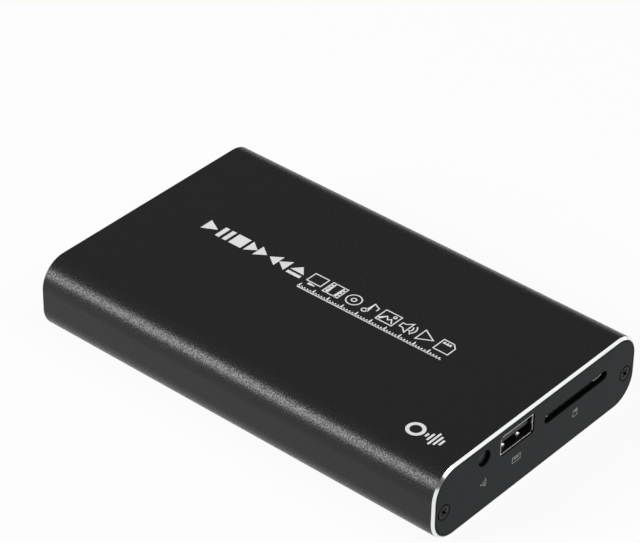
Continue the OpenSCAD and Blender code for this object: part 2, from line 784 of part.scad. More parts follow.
module drive_socket() color(plastic_black) translate([plug_x, drive_y, drive_z]) difference() {
    union() {
        block([-plug_w / 2, -plug_l, plug_z[0]], [plug_w / 2, -socket_gap, board_z - drive_z]);
        block([-pocket_w / 2 + nose_gap, -socket_gap - root, pocket_z[0] + nose_gap],
              [pocket_w / 2 - nose_gap, pocket_d - nose_gap, pocket_z[1] - nose_gap]);
    }
    for (tongue = [signal_tongue, power_tongue])
        block([tongue[0] - nose_gap, -past, tongue_z - nose_gap],
              [tongue[1] + nose_gap, pocket_d, tongue_z + tongue_t + nose_gap]);
}

// ---- Rear sockets ----

module hdmi_outline(gap) {
    w = hdmi_w / 2 + gap;
    h = hdmi_h / 2 + gap;
    translate([hdmi_x, hdmi_z])
        polygon([[-w, h], [-w, hdmi_bevel - h], [hdmi_bevel - w, -h],
                 [w - hdmi_bevel, -h], [w, hdmi_bevel - h], [w, h]]);
}

module hdmi_shell() color(bright_steel) difference() {
    along_y(port_rear - hdmi_l, port_rear) hdmi_outline(0);
    along_y(port_rear - hdmi_l + steel_t, port_rear + past) hdmi_outline(-steel_t);
}

module hdmi_tongue() color(plastic_black) {
    front = port_rear - hdmi_l + steel_t;
    half_h = hdmi_h / 2 - steel_t - fit_gap;
    block([hdmi_x - hdmi_tongue_w / 2, front, hdmi_z + hdmi_tongue_z[0]],
          [hdmi_x + hdmi_tongue_w / 2, port_rear - tongue_back, hdmi_z + hdmi_tongue_z[1]]);
    block([hdmi_x - hdmi_plug[0] / 2, front, hdmi_z - half_h],
          [hdmi_x + hdmi_plug[0] / 2, port_rear - hdmi_plug[1], hdmi_z + half_h]);
}

// A round socket: a body on the board, a collar through the rear panel and a blind bore
module round_jack(x, z, body, collar_r, bore_r) difference() {
    union() {
        block([x - body[0] / 2, board_rear - body[1], board_top],
              [x + body[0] / 2, board_rear, board_top + body[2]]);
        rod_y(x, z, collar_r, board_rear - root, port_rear);
    }
    rod_y(x, z, bore_r, board_rear - body[1] + port_back_t, port_rear + past);
}

module av_jack() color(plastic_black) round_jack(av_x, av_z, av_body, av_collar_r, av_bore_r);

module dc_jack() color(plastic_black) round_jack(dc_x, dc_z, dc_body, dc_collar_r, dc_bore_r);

module dc_jack_pin() color(bright_steel)
    rod_y(dc_x, dc_z, dc_pin_r, board_rear - dc_body[1] + port_back_t, port_rear - tongue_back);

// Two joined rectangles, the wide one to the left as seen from the front
module data_outline(gap) {
    left = data_x - data_full_w / 2 - gap;
    low = data_z - data_h[0] / 2 - gap;
    translate([left, low]) square([data_w[0] + 2 * gap, data_h[0] + 2 * gap]);
    translate([left + data_w[0] - data_lap + gap, low])
        square([data_w[1] + data_lap + gap, data_h[1] + 2 * gap]);
}

module data_port_shell() color(bright_steel) difference() {
    along_y(port_rear - data_l, port_rear) data_outline(0);
    along_y(port_rear - data_l + steel_t, port_rear + past) data_outline(-steel_t);
}

module data_port_tongue() color(plastic_black) {
    left = data_x - data_full_w / 2;
    low = data_z - data_h[0] / 2;
    wide_end = data_w[0] - data_tongue_in;
    narrow_start = data_w[0] + data_tongue_lap;
    for (part = [[data_tongue_in, wide_end], [narrow_start, data_full_w - data_tongue_in]])
        block([left + part[0], port_rear - data_l + steel_t, low + data_tongue_z[0]],
              [left + part[1], port_rear - tongue_back, low + data_tongue_z[1]]);
}

// ---- Parts on the board ----

module on_board(at) translate([at[0], at[1], board_top]) children();

module flat_part(size) translate([-size[0] / 2, -size[1] / 2, 0]) cube(size);

module media_processor() color(chip_grey) on_board(chip_at) flat_part(chip);

module thermal_pad() color(pad_grey) on_board(chip_at) translate([0, 0, chip[2]])
    flat_part([chip[0] - 2 * pad_in, chip[1] - 2 * pad_in, pad_t]);

module heat_sink() color(black_anodised) on_board(chip_at) translate([0, 0, chip[2] + pad_t]) {
    flat_part([sink_w, sink_w, sink_base_t]);
    pitch = (sink_w - sink_fin_t) / (sink_fins - 1);
    for (k = [0:sink_fins - 1])
        translate([k * pitch - sink_w / 2, -sink_w / 2, 0])
            cube([sink_fin_t, sink_w, sink_base_t + sink_fin_h]);
}

module memory_chips() color(chip_grey) for (spot = memory_spots) on_board(spot) flat_part(memory);

module bridge_chip() color(chip_grey) on_board(bridge_at) flat_part(bridge);

module power_inductors() color(chip_grey) for (spot = inductor_spots) on_board(spot) {
    flat_part(inductor);
    cylinder(r = inductor_r, h = inductor_h);
}

module smoothing_capacitors() color(bright_steel) for (spot = can_spots) on_board(spot) {
    flat_part(can_seat);
    cylinder(r = can_r, h = can_h);
}

module clock_crystal() color(bright_steel) on_board(crystal_at)
    linear_extrude(crystal[2]) slot(crystal[0], crystal[1]);

// ---- Hard drive ----

module in_drive() translate([0, drive_y, drive_z]) children();

module at_pivot(angle = 0) in_drive() translate([pivot[0], pivot[1], 0]) rotate([0, 0, angle]) children();

module drive_outline() translate([0, drive_l / 2]) rounded(drive_w, drive_l, drive_corner_r);

// The opening for the platter, the arm's bay, the opening between the two and the ramp's bay
module cavity_outline() {
    translate(spindle) circle(platter_r + cavity_gap);
    translate(pivot) circle(bay_r);
    left = 4.5 - platter_r;
    right = platter_r - 8.5;
    rear = spindle[1] - 9.4;
    polygon([[left, pivot[1] + 7], [left, rear], [right, rear], [right, pivot[1] + 4],
             [pivot[0], pivot[1] - 12], [pivot[0] - 20, pivot[1] - 6]]);
    translate(pivot) rotate(park_angle) translate([0, -ramp_w / 2 - ramp_room])
        square([arm_l + ramp_l + ramp_room, ramp_w + 2 * ramp_room]);
}

module drive_base() color(cast_aluminium) in_drive() difference() {
    linear_extrude(base_h) drive_outline();
    translate([0, 0, cavity_z]) linear_extrude(base_h) cavity_outline();
    block([-drive_board_w / 2 - drive_board_gap, -past, -past],
          [drive_board_w / 2 + drive_board_gap, drive_board_l + 2 * drive_board_gap, drive_board_recess]);
    block([plug_x - plug_w / 2 - fit_gap, -past, plug_z[0] - fit_gap],
          [plug_x + plug_w / 2 + fit_gap, plug_l + fit_gap, base_h + past]);
    for (spot = mount_spots) translate([spot[0], spot[1], -past])
        cylinder(r = mount_screw_r + fit_gap, h = mount_screw_l + 0.2 + past);
    for (spot = cover_screw_spots) translate([spot[0], spot[1], base_h - cover_screw_l - 0.2])
        cylinder(r = cover_screw_r + fit_gap, h = cover_screw_l + past);
    translate([spindle[0], spindle[1], bearing_z[0]]) cylinder(r = bearing_r + fit_gap, h = cavity_z);
}

module drive_cover() color(bright_steel) in_drive() difference() {
    translate([0, 0, base_h]) linear_extrude(cover_t) drive_outline();
    for (spot = cover_screw_spots) translate(spot) {
        translate([0, 0, base_h - past]) cylinder(r = cover_screw_r + fit_gap, h = cover_t + 2 * past);
        translate([0, 0, drive_h - cover_head_t - fit_gap]) cylinder(r = cover_head_r + fit_gap, h = past);
    }
}

module drive_cover_screws() color(bright_steel) in_drive()
    for (spot = cover_screw_spots) translate(spot) {
        translate([0, 0, drive_h - cover_head_t - fit_gap]) cylinder(r = cover_head_r, h = cover_head_t);
        translate([0, 0, base_h - cover_screw_l])
            cylinder(r = cover_screw_r, h = cover_screw_l + cover_t - cover_head_t);
    }

module drive_screws() color(bright_steel) in_drive()
    for (spot = mount_spots) translate([spot[0], spot[1], -sheet_t - mount_head_t]) difference() {
        union() {
            cylinder(r = mount_head_r, h = mount_head_t);
            cylinder(r = mount_screw_r, h = mount_head_t + sheet_t + mount_screw_l);
        }
        for (turn = [0, 90]) rotate([0, 0, turn]) translate([-mount_cross[0] / 2, -mount_cross[1] / 2, -past])
            cube([mount_cross[0], mount_cross[1], past + mount_cross[2]]);
    }

module drive_board() color(board_green) in_drive()
    block([-drive_board_w / 2, drive_board_gap, drive_board_recess - fit_gap - drive_board_t],
          [drive_board_w / 2, drive_board_l, drive_board_recess - fit_gap]);

module drive_plug() color(plastic_black) in_drive() translate([plug_x, 0, 0]) {
    difference() {
        block([-plug_w / 2, 0, plug_z[0]], [plug_w / 2, plug_l, plug_z[1]]);
        block([-pocket_w / 2, -past, pocket_z[0]], [pocket_w / 2, pocket_d, pocket_z[1]]);
    }
    for (tongue = [signal_tongue, power_tongue])
        block([tongue[0], tongue_setback, tongue_z], [tongue[1], pocket_d + root, tongue_z + tongue_t]);
}

// ---- Inside the drive ----

module at_spindle() in_drive() translate([spindle[0], spindle[1], 0]) children();

module spindle_bearing() color(bright_steel) at_spindle() difference() {
    translate([0, 0, bearing_z[0]]) cylinder(r = bearing_r, h = bearing_z[1] - bearing_z[0]);
    cylinder(r = bearing_bore_r, h = drive_h);
}

module spindle_hub() color(cast_aluminium) at_spindle() {
    translate([0, 0, bearing_z[0] + 0.1]) cylinder(r = shaft_r, h = platter_z - bearing_z[0]);
    translate([0, 0, platter_z - hub_t]) {
        cylinder(r = hub_flange_r, h = hub_t);
        cylinder(r = platter_bore_r - 0.02, h = hub_t + platter_t);
    }
}

module platter() color(platter_silver) at_spindle() translate([0, 0, platter_z]) difference() {
    cylinder(r = platter_r, h = platter_t, $fn = 128);
    translate([0, 0, -past]) cylinder(r = platter_bore_r, h = platter_t + 2 * past);
}

module platter_clamp() color(bright_steel) at_spindle() translate([0, 0, platter_z + platter_t]) difference() {
    cylinder(r = hub_flange_r, h = clamp_t);
    for (k = [0:5]) rotate([0, 0, 60 * k]) translate([clamp_hole_at, 0, -past])
        cylinder(r = clamp_hole_r, h = clamp_t + 2 * past);
}

module pivot_pin() color(bright_steel) at_pivot() translate([0, 0, cavity_z])
    cylinder(r = pivot_pin_r, h = base_h - cavity_z - 0.02);

// A flat bar along x, from its half width at each place
module tapered(steps)
    polygon(concat(steps, [for (k = [len(steps) - 1:-1:0]) [steps[k][0], -steps[k][1]]]));

// A flat sector about the pivot
module sector(r0, r1, from, sweep, z0, z1)
    rotate([0, 0, from]) rotate_extrude(angle = sweep) translate([r0, z0]) square([r1 - r0, z1 - z0]);

module magnet_yokes() color(bright_steel) at_pivot() {
    for (z = yoke_z) sector(yoke_r[0], yoke_r[1], magnet_from, magnet_sweep, z, z + yoke_t);
    for (share = [0.15, 0.85])
        rotate([0, 0, magnet_from + share * magnet_sweep]) translate([post_at, 0, yoke_z[0]])
            cylinder(r = post_r, h = yoke_z[1] + yoke_t - yoke_z[0]);
}

module coil_magnets() color(zinc_steel) at_pivot()
    for (z = [yoke_z[0] + yoke_t, yoke_z[1] - magnet_t])
        sector(coil_r[0], coil_r[1], magnet_from, magnet_sweep, z, z + magnet_t);

module parking_ramp() color(ramp_white) difference() {
    at_pivot(park_angle) {
        block([arm_l - 1.5, -ramp_w / 2, arm_levels[0] + arm_t + ramp_gap],
              [arm_l + ramp_l, ramp_w / 2, arm_levels[1] - ramp_gap]);
        block([arm_l + ramp_l - 2, -ramp_w / 2, cavity_z], [arm_l + ramp_l, ramp_w / 2, base_h - 1.2]);
    }
    at_spindle() cylinder(r = platter_r + 0.4, h = base_h);
}

module actuator_arm() color(cast_aluminium) at_pivot(park_angle) difference() {
    union() {
        translate([0, 0, arm_hub_z[0]]) cylinder(r = arm_hub_r, h = arm_hub_z[1] - arm_hub_z[0]);
        for (z = arm_levels) translate([0, 0, z]) linear_extrude(arm_t) tapered(arm_taper);
        // Two fingers that hold the coil
        for (turn = [180 - coil_half_angle - 5, 180 + coil_half_angle + 1])
            sector(arm_hub_r - 1, coil_r[1] - 1, turn, 4, coil_z[0], coil_z[1]);
    }
    translate([0, 0, arm_hub_z[0] - past]) cylinder(r = pivot_pin_r + fit_gap, h = base_h);
}

module read_heads() color(bright_steel) at_pivot(park_angle)
    for (level = [0, 1]) {
        z = arm_levels[level] + (level == 0 ? -head_t : arm_t);
        translate([0, 0, z]) linear_extrude(head_t) tapered(head_taper);
        block([arm_l - 1, -0.6, arm_levels[level]], [arm_l, 0.6, arm_levels[level] + arm_t]);
    }

module voice_coil() color(copper) at_pivot(park_angle + 180) difference() {
    sector(coil_r[0], coil_r[1], -coil_half_angle, 2 * coil_half_angle, coil_z[0], coil_z[1]);
    hole_half_angle = coil_half_angle - 9;
    sector(coil_r[0] + coil_wire_w, coil_r[1] - coil_wire_w, -hole_half_angle, 2 * hole_half_angle,
           coil_z[0] - past, coil_z[1] + past);
}

housing_sleeve();
rear_panel();
rear_panel_screws();
front_panel();
front_panel_screws();
drive_tray();
board_standoffs();
board_screws();
main_board();
ir_window();
ir_receiver();
usb_host_shell();
usb_host_tongue();
usb_host_contacts();
card_socket_base();
card_socket_shell();
card_socket_contacts();
card_ejector();
card_ejector_spring();
drive_socket();
hdmi_shell();
hdmi_tongue();
av_jack();
dc_jack();
dc_jack_pin();
data_port_shell();
data_port_tongue();
media_processor();
thermal_pad();
heat_sink();
memory_chips();
bridge_chip();
power_inductors();
smoothing_capacitors();
clock_crystal();
drive_base();
drive_cover();
drive_cover_screws();
drive_screws();
drive_board();
drive_plug();
spindle_bearing();
pivot_pin();
magnet_yokes();
coil_magnets();
parking_ramp();
spindle_hub();
platter();
platter_clamp();
actuator_arm();
read_heads();
voice_coil();
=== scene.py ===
# %% [markdown]
# # A media player with a hard drive tray
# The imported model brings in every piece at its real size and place, and the bodies that the pieces ride on.
# It is loaded first and stays as it is. This lesson only dresses it: finishes for the pieces that are right
# as they are, and finer meshes in place of a few others.

# %% Load the frame
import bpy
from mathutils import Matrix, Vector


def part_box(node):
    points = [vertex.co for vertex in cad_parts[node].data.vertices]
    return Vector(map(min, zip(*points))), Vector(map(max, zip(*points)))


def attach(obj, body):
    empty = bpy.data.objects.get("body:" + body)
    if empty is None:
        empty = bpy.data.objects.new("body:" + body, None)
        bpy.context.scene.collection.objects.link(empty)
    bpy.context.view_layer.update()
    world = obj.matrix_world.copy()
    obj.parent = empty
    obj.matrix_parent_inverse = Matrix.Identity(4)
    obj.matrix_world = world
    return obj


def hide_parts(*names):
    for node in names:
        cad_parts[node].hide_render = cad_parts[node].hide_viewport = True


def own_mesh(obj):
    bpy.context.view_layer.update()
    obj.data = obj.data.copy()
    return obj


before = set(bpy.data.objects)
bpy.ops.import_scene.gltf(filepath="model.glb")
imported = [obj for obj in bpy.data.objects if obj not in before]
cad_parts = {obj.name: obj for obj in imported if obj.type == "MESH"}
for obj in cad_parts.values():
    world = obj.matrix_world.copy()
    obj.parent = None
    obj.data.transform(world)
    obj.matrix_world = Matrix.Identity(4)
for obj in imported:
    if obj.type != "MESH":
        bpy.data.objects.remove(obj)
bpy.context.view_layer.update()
print("pieces of the packed model:", len(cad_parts))

# %% Modules, units and the main sizes
import math
import random

import bmesh
import bpy
from mathutils import Matrix, Quaternion, Vector

mm = 0.001
case_low, case_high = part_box("housing_sleeve")
body_w = case_high.x - case_low.x
body_l = case_high.y - case_low.y
body_h = case_high.z - case_low.z
front_y = case_low.y
rear_y = case_high.y
print("case, mm:", [round(v / mm, 1) for v in (body_w, body_l, body_h)])

# %% [markdown]
# ## Camera
# A product photograph like this one is taken from a good distance with a long lens, so the case hardly
# narrows towards the back. The place and the lens were worked out from the outline of the case. A camera
# looks along its own -Z, so a track quaternion turns it to its aim, and a small roll about the view axis
# levels the picture.

# %% Camera
eye = Vector((-0.48373, -0.40277, 0.47921))
aim = Vector((0.01695, 0.01963, 0.01096))
camera_roll = math.radians(1.008)
focal_length = 170.52

lens = bpy.data.cameras.new("camera")
lens.lens = focal_length
lens.sensor_width = 36
lens.clip_start = 0.01
camera = bpy.data.objects.new("camera", lens)
bpy.context.scene.collection.objects.link(camera)
facing = (aim - eye).to_track_quat("-Z", "Y") @ Quaternion((0, 0, 1), camera_roll)
camera.matrix_world = Matrix.Translation(eye) @ facing.to_matrix().to_4x4()
bpy.context.scene.camera = camera
bpy.context.scene.view_settings.view_transform = "Standard"
view_axes = [facing @ Vector(axis) for axis in ((1, 0, 0), (0, -1, 0), (0, 0, -1))]
print("right, down and forward of the view:", [tuple(round(v, 4) for v in axis) for axis in view_axes])

# %% [markdown]
# ## Outlines
# Most shapes here start as a flat outline: a list of points, anticlockwise. A few short functions give the
# common ones and move or turn them.

# %% Outlines
def rectangle(x_low, y_low, x_high, y_high):
    return [(x_low, y_low), (x_high, y_low), (x_high, y_high), (x_low, y_high)]


def oblong(w, h):
    """A rectangle about the origin."""
    return rectangle(-w / 2, -h / 2, w / 2, h / 2)


def rounded_outline(w, h, r, steps):
    """A rounded rectangle about the origin, from its right side."""
    points = []
    for quarter, (sx, sy) in enumerate(((1, 1), (-1, 1), (-1, -1), (1, -1))):
        for step in range(steps + 1):
            a = math.radians(90 * (quarter + step / steps))
            points.append((sx * (w / 2 - r) + r * math.cos(a), sy * (h / 2 - r) + r * math.sin(a)))
    return points


def arc(x, y, r, start, end, steps):
    """Points of an arc about (x, y), with its angles in degrees."""
    angles = [math.radians(start + (end - start) * k / steps) for k in range(steps + 1)]
    return [(x + r * math.cos(a), y + r * math.sin(a)) for a in angles]


def circle(x, y, r, count):
    """Even points round a circle about (x, y)."""
    angles = [2 * math.pi * k / count for k in range(count)]
    return [(x + r * math.cos(a), y + r * math.sin(a)) for a in angles]


def dome(r, tall, angles, base=0.0):
    """Points of a low dome's profile, of a radius and a height, at angles in degrees from its edge."""
    return [(r * math.cos(math.radians(a)), base + tall * math.sin(math.radians(a))) for a in angles]


def moved(points, x, y):
    return [(px + x, py + y) for px, py in points]


def turned(points, angle, x, y):
    """Points turned by an angle in degrees, then moved."""
    c, s = math.cos(math.radians(angle)), math.sin(math.radians(angle))
    return [(px * c - py * s + x, px * s + py * c + y) for px, py in points]


def scaled(points):
    """Points in millimetres, as metres."""
    return [(x * mm, y * mm) for x, y in points]


def spread(count, pitch):
    """Places at an even pitch about 0."""
    return [(k - (count - 1) / 2) * pitch for k in range(count)]


print("an oblong about the origin:", oblong(2, 1))

# %% [markdown]
# ## Meshes from outlines
# Nearly every piece here is a bar, a plate or a turned part. Three small helpers cover them: one stacks
# rings of points into a skin, one gives a flat outline a thickness, and one spins a profile round an axis.
# Writing the faces directly keeps the edges where the real piece has them, which a subdivided cube would
# not.

# %% Mesh helpers
def new_piece(name, bm, body, slot, *materials):
    """Turns a bmesh into an object that rides on a body."""
    bmesh.ops.recalc_face_normals(bm, faces=bm.faces)
    data = bpy.data.meshes.new(name)
    bm.to_mesh(data)
    bm.free()
    piece = bpy.data.objects.new(name, data)
    bpy.context.scene.collection.objects.link(piece)
    for material in materials:
        data.materials.append(material)
    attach(piece, body)
    return piece


def skin(bm, rings, closed=False, caps=False, material=0):
    """Joins rings of as many points each with four-sided faces, and returns the faces band by band."""
    loops = [[bm.verts.new(p) for p in ring] for ring in rings]
    pairs = list(zip(loops, loops[1:])) + ([(loops[-1], loops[0])] if closed else [])
    bands = []
    for a, b in pairs:
        n = len(a)
        bands.append([bm.faces.new((a[k], a[(k + 1) % n], b[(k + 1) % n], b[k])) for k in range(n)])
    if caps:
        bands.append([bm.faces.new(loops[0]), bm.faces.new(loops[-1])])
    for band in bands:
        for face in band:
            face.material_index = material
    return bands


def along_axis(axis, u, v, t):
    """The point that lies t along an axis, and u and v across it."""
    return {"x": (t, u, v), "y": (u, t, v), "z": (u, v, t)}[axis]


def plate(bm, outline, low, high, axis="z", material=0):
    """Gives a flat outline a thickness from low to high along an axis."""
    rings = [[along_axis(axis, u, v, t) for u, v in outline] for t in (low, high)]
    skin(bm, rings, caps=True, material=material)


def block(bm, low, high):
    """A box between two corners."""
    plate(bm, rectangle(low[0], low[1], high[0], high[1]), low[2], high[2])


def spun(profile, at=(0, 0, 0), axis="z", steps=32):
    """Rings that (radius, height) points draw when they are spun round an axis through a point."""
    return [[Vector(along_axis(axis, u, v, height)) + Vector(at) for u, v in circle(0, 0, radius, steps)]
            for radius, height in profile]


def lathe(bm, profile, at, axis="z", steps=32, material=0, closed=False):
    """Spins a profile into a solid. An open profile is capped at both ends, and a closed one gives a ring."""
    skin(bm, spun(profile, at, axis, steps), closed=closed, caps=not closed, material=material)


def weigh_normals(piece):
    """Lets the large flat faces decide the shading."""
    weighted = piece.modifiers.new("even shading", "WEIGHTED_NORMAL")
    weighted.keep_sharp = True


def even_shading(piece, angle=30):
    """Smooth shading, with the creases above an angle in degrees left sharp."""
    piece.data.polygons.foreach_set("use_smooth", [True] * len(piece.data.polygons))
    piece.data.set_sharp_from_angle(angle=math.radians(angle))
    weigh_normals(piece)
    return piece


def round_edges(piece, width):
    """Small rounded edges, without which a machined piece catches no light along its edges."""
    bevel = piece.modifiers.new("rounded edges", "BEVEL")
    bevel.width = width
    bevel.segments = 2
    bevel.limit_method = "ANGLE"
    bevel.angle_limit = math.radians(35)
    bevel.use_clamp_overlap = True
    weigh_normals(piece)


def join_mesh(piece, tool, operation):
    """Adds a closed mesh to a piece, or cuts it out, and removes the tool."""
    step = piece.modifiers.new("join", "BOOLEAN")
    step.operation = operation
    step.solver = "EXACT"
    step.object = tool
    joined = piece.evaluated_get(bpy.context.evaluated_depsgraph_get())
    made = bpy.data.meshes.new_from_object(joined)
    piece.modifiers.clear()
    piece.data = made
    bpy.data.objects.remove(tool)


# %% [markdown]
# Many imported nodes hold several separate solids, such as four screws. The next helper finds the box of
# each, by walking from point to point, so that details can be set round every one of them. The last helper
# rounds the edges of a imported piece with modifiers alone: its own mesh stays as it was packed.

# %% Separate solids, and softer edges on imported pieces
def solids_of(name):
    """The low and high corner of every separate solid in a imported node, sorted by place."""
    bm = bmesh.new()
    bm.from_mesh(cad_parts[name].data)
    bmesh.ops.remove_doubles(bm, verts=bm.verts, dist=1e-6)
    waiting = set(bm.verts)
    boxes = []
    while waiting:
        group = [waiting.pop()]
        for vert in group:
            near = {edge.other_vert(vert) for edge in vert.link_edges} & waiting
            waiting -= near
            group.extend(near)
        places = [[vert.co[k] for vert in group] for k in range(3)]
        boxes.append((Vector([min(p) for p in places]), Vector([max(p) for p in places])))
    bm.free()
    return sorted(boxes, key=lambda b: [round(v / mm, 2) for v in b[0]])


def spots_of(name):
    """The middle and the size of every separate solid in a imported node, in millimetres."""
    return [((low + high) / 2 / mm, (high - low) / mm) for low, high in solids_of(name)]


def dress(name, material, width):
    """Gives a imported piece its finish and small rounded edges."""
    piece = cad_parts[name]
    piece.data.materials.clear()
    piece.data.materials.append(material)
    weld = piece.modifiers.new("weld", "WELD")
    weld.merge_threshold = 1e-6
    flats = piece.modifiers.new("one face for each flat", "DECIMATE")
    flats.decimate_type = "DISSOLVE"
    flats.angle_limit = math.radians(0.8)
    round_edges(piece, width)


print("board screws at, mm:", [[round(v, 2) for v in spot] for spot, size in spots_of("board_screws")])

# %% [markdown]
# ## Shader helpers
# A material is a small tree of nodes. Writing each node with its inputs in one call keeps the tree readable
# from the inside out. An effect that several finishes share is a node group with named inputs, so each
# finish sets its own scale and strength.

# %% Node helpers
def fill_inputs(tree, made, values):
    """Sets each input of a node to a value, or links it to another node's output."""
    for key, value in values.items():
        if isinstance(value, bpy.types.NodeSocket):
            tree.links.new(value, made.inputs[key])
        else:
            made.inputs[key].default_value = value


def node(tree, kind, inputs=None, **settings):
    """Adds a shader node with its settings and inputs."""
    made = tree.nodes.new("ShaderNode" + kind)
    for key, value in settings.items():
        setattr(made, key, value)
    fill_inputs(tree, made, inputs or {})
    return made


def math_node(tree, operation, a, b=0.5, clamp=False):
    """One sum, product or comparison of two values. Operations on one value leave the second aside."""
    return node(tree, "Math", {0: a, 1: b}, operation=operation, use_clamp=clamp).outputs[0]


def new_group(name, inputs, outputs):
    """An empty node group with named sockets: (name, kind, default) in, (name, kind) out."""
    tree = bpy.data.node_groups.new(name, "ShaderNodeTree")
    for label, kind, value in inputs:
        socket = tree.interface.new_socket(label, in_out="INPUT", socket_type="NodeSocket" + kind)
        socket.default_value = value
    for label, kind in outputs:
        tree.interface.new_socket(label, in_out="OUTPUT", socket_type="NodeSocket" + kind)
    return tree, tree.nodes.new("NodeGroupInput").outputs, tree.nodes.new("NodeGroupOutput").inputs


def effect(tree, group, **inputs):
    """Places a node group in a material with its own values, and returns its outputs."""
    placed = tree.nodes.new("ShaderNodeGroup")
    placed.node_tree = group
    fill_inputs(tree, placed, {key.replace("_", " ").capitalize(): value for key, value in inputs.items()})
    return placed.outputs


def new_material(name):
    """A material with a Principled BSDF, and the tree to build on."""
    material = bpy.data.materials.new(name)
    material.use_nodes = True
    tree = material.node_tree
    return material, tree, tree.nodes["Principled BSDF"]


def feed_shader(tree, shader, color, roughness, height=None, depth=0.0, **values):
    """Feeds a colour, a roughness and a height with its depth in metres. The rest are plain values."""
    tree.links.new(color, shader.inputs["Base Color"])
    tree.links.new(roughness, shader.inputs["Roughness"])
    if height:
        bump = node(tree, "Bump", {"Height": height, "Distance": depth, "Strength": 1.0})
        tree.links.new(bump.outputs["Normal"], shader.inputs["Normal"])
    for key, value in values.items():
        shader.inputs[key.replace("_", " ").title().replace("Ior", "IOR")].default_value = value


def mix_color(tree, factor, a, b):
    """Mixes two colours. The colour sockets of a Mix node are numbers 6 and 7, and its colour output is 2."""
    colors = {}
    for key, value in ((6, a), (7, b)):
        colors[key] = value if isinstance(value, bpy.types.NodeSocket) else (*value, 1)
    return node(tree, "Mix", {0: factor, **colors}, data_type="RGBA").outputs[2]


def mapped(tree, value, low, high, to_low, to_high):
    """Stretches one range of values onto another."""
    made = node(tree, "MapRange", {
        "Value": value, "From Min": low, "From Max": high, "To Min": to_low, "To Max": to_high})
    return made.outputs["Result"]


def noise(tree, size, detail, roughness=0.5, stretch=None):
    """Noise all over a piece, with a grain of a size in metres. A stretch below 1 draws it out one way."""
    place = node(tree, "TexCoord").outputs["Object"]
    if stretch:
        place = node(tree, "VectorMath", {0: place, 1: stretch}, operation="MULTIPLY").outputs[0]
    density = math_node(tree, "DIVIDE", 1.0, size)
    grain = node(tree, "TexNoise", {
        "Vector": place, "Scale": density, "Detail": detail, "Roughness": roughness})
    return grain.outputs["Fac"]


# %% [markdown]
# ## Shared surface effects
# Blasting leaves fine pits all over a case, rolling leaves lines along a sheet, handling leaves faint
# patches that only the gloss shows, and shearing leaves the edges of plated parts brighter. Each is one
# group.

# %% Blasted grain
grain_group, given, out = new_group(
    "Fine grain", [("Size", "Float", 0.3 * mm)], [("Height", "Float"), ("Tone", "Float")])
fine = noise(grain_group, given["Size"], 2.0, 0.6)
coarse_size = math_node(grain_group, "DIVIDE", given["Size"], 0.37)
coarse = math_node(grain_group, "MULTIPLY", noise(grain_group, coarse_size, 1.0), 0.25)
both = math_node(grain_group, "ADD", fine, coarse)
grain_group.links.new(math_node(grain_group, "MULTIPLY", both, 0.8), out["Height"])
grain_group.links.new(fine, out["Tone"])

# %% Handling marks
handling_group, given, out = new_group("Handling", [("Size", "Float", 20 * mm)], [("Patches", "Float")])
cloud = noise(handling_group, given["Size"], 4.0, 0.65)
handling_group.links.new(mapped(handling_group, cloud, 0.3, 0.7, 0.0, 1.0), out["Patches"])

# %% Rolled and brushed lines
lines_group, given, out = new_group(
    "Drawn lines", [("Width", "Float", 0.1 * mm), ("Stretch", "Vector", (1.0, 0.02, 1.0))],
    [("Height", "Float"), ("Tone", "Float")])
lines = noise(lines_group, given["Width"], 3.0, 0.7, given["Stretch"])
lines_group.links.new(lines, out["Height"])
lines_group.links.new(mapped(lines_group, lines, 0.3, 0.7, 0.0, 1.0), out["Tone"])

# %% Worn edges
wear_group, given, out = new_group(
    "Worn edges", [("Reach", "Float", 0.15 * mm), ("Breakup", "Float", 0.6 * mm)], [("Mask", "Float")])
edge_normal = node(wear_group, "Bevel", {"Radius": given["Reach"]}, samples=4).outputs["Normal"]
true_normal = node(wear_group, "NewGeometry").outputs["Normal"]
agreement = node(wear_group, "VectorMath", {0: edge_normal, 1: true_normal}, operation="DOT_PRODUCT")
edge = mapped(wear_group, agreement.outputs["Value"], 0.995, 0.9, 0.0, 1.0)
broken = mapped(wear_group, noise(wear_group, given["Breakup"], 3.0), 0.35, 0.6, 0.25, 1.0)
wear_group.links.new(math_node(wear_group, "MULTIPLY", edge, broken, clamp=True), out["Mask"])
print("shader groups:", [g.name for g in bpy.data.node_groups])

# %% [markdown]
# ## The case finish
# The case is blasted, anodised and dyed black, then each end is cut bright at 45 degrees. Anodising is a
# clear hard oxide with dye in it, so it reflects like a dark lacquer, not like bare metal: a near-black
# base, a weak clear reflection, and fine pits that break that reflection into a grainy band along each
# rounded edge.

# %% Anodised and bright cut aluminium
def anodised_case():
    material, tree, shader = new_material("anodised case")
    grain = effect(tree, grain_group, size=0.42 * mm)
    marks = effect(tree, handling_group, size=35 * mm)
    black = mix_color(tree, grain["Tone"], (0.0120, 0.0120, 0.0122), (0.0160, 0.0160, 0.0162))
    gloss = mapped(tree, grain["Tone"], 0.36, 0.64, 0.12, 0.44)
    gloss = math_node(tree, "ADD", gloss, math_node(tree, "MULTIPLY", marks["Patches"], 0.02))
    feed_shader(tree, shader, black, gloss, grain["Height"], 0.06 * mm, specular_ior_level=0.18)
    return material


def bright_cut():
    material, tree, shader = new_material("bright cut aluminium")
    lines = effect(tree, lines_group, width=0.05 * mm, stretch=(1.0, 1.0, 1.0))
    tone = mix_color(tree, lines["Tone"], (0.78, 0.79, 0.80), (0.86, 0.865, 0.87))
    feed_shader(tree, shader, tone, mapped(tree, lines["Tone"], 0, 1, 0.12, 0.20), metallic=1.0)
    return material


case_black = anodised_case()
rim_bright = bright_cut()

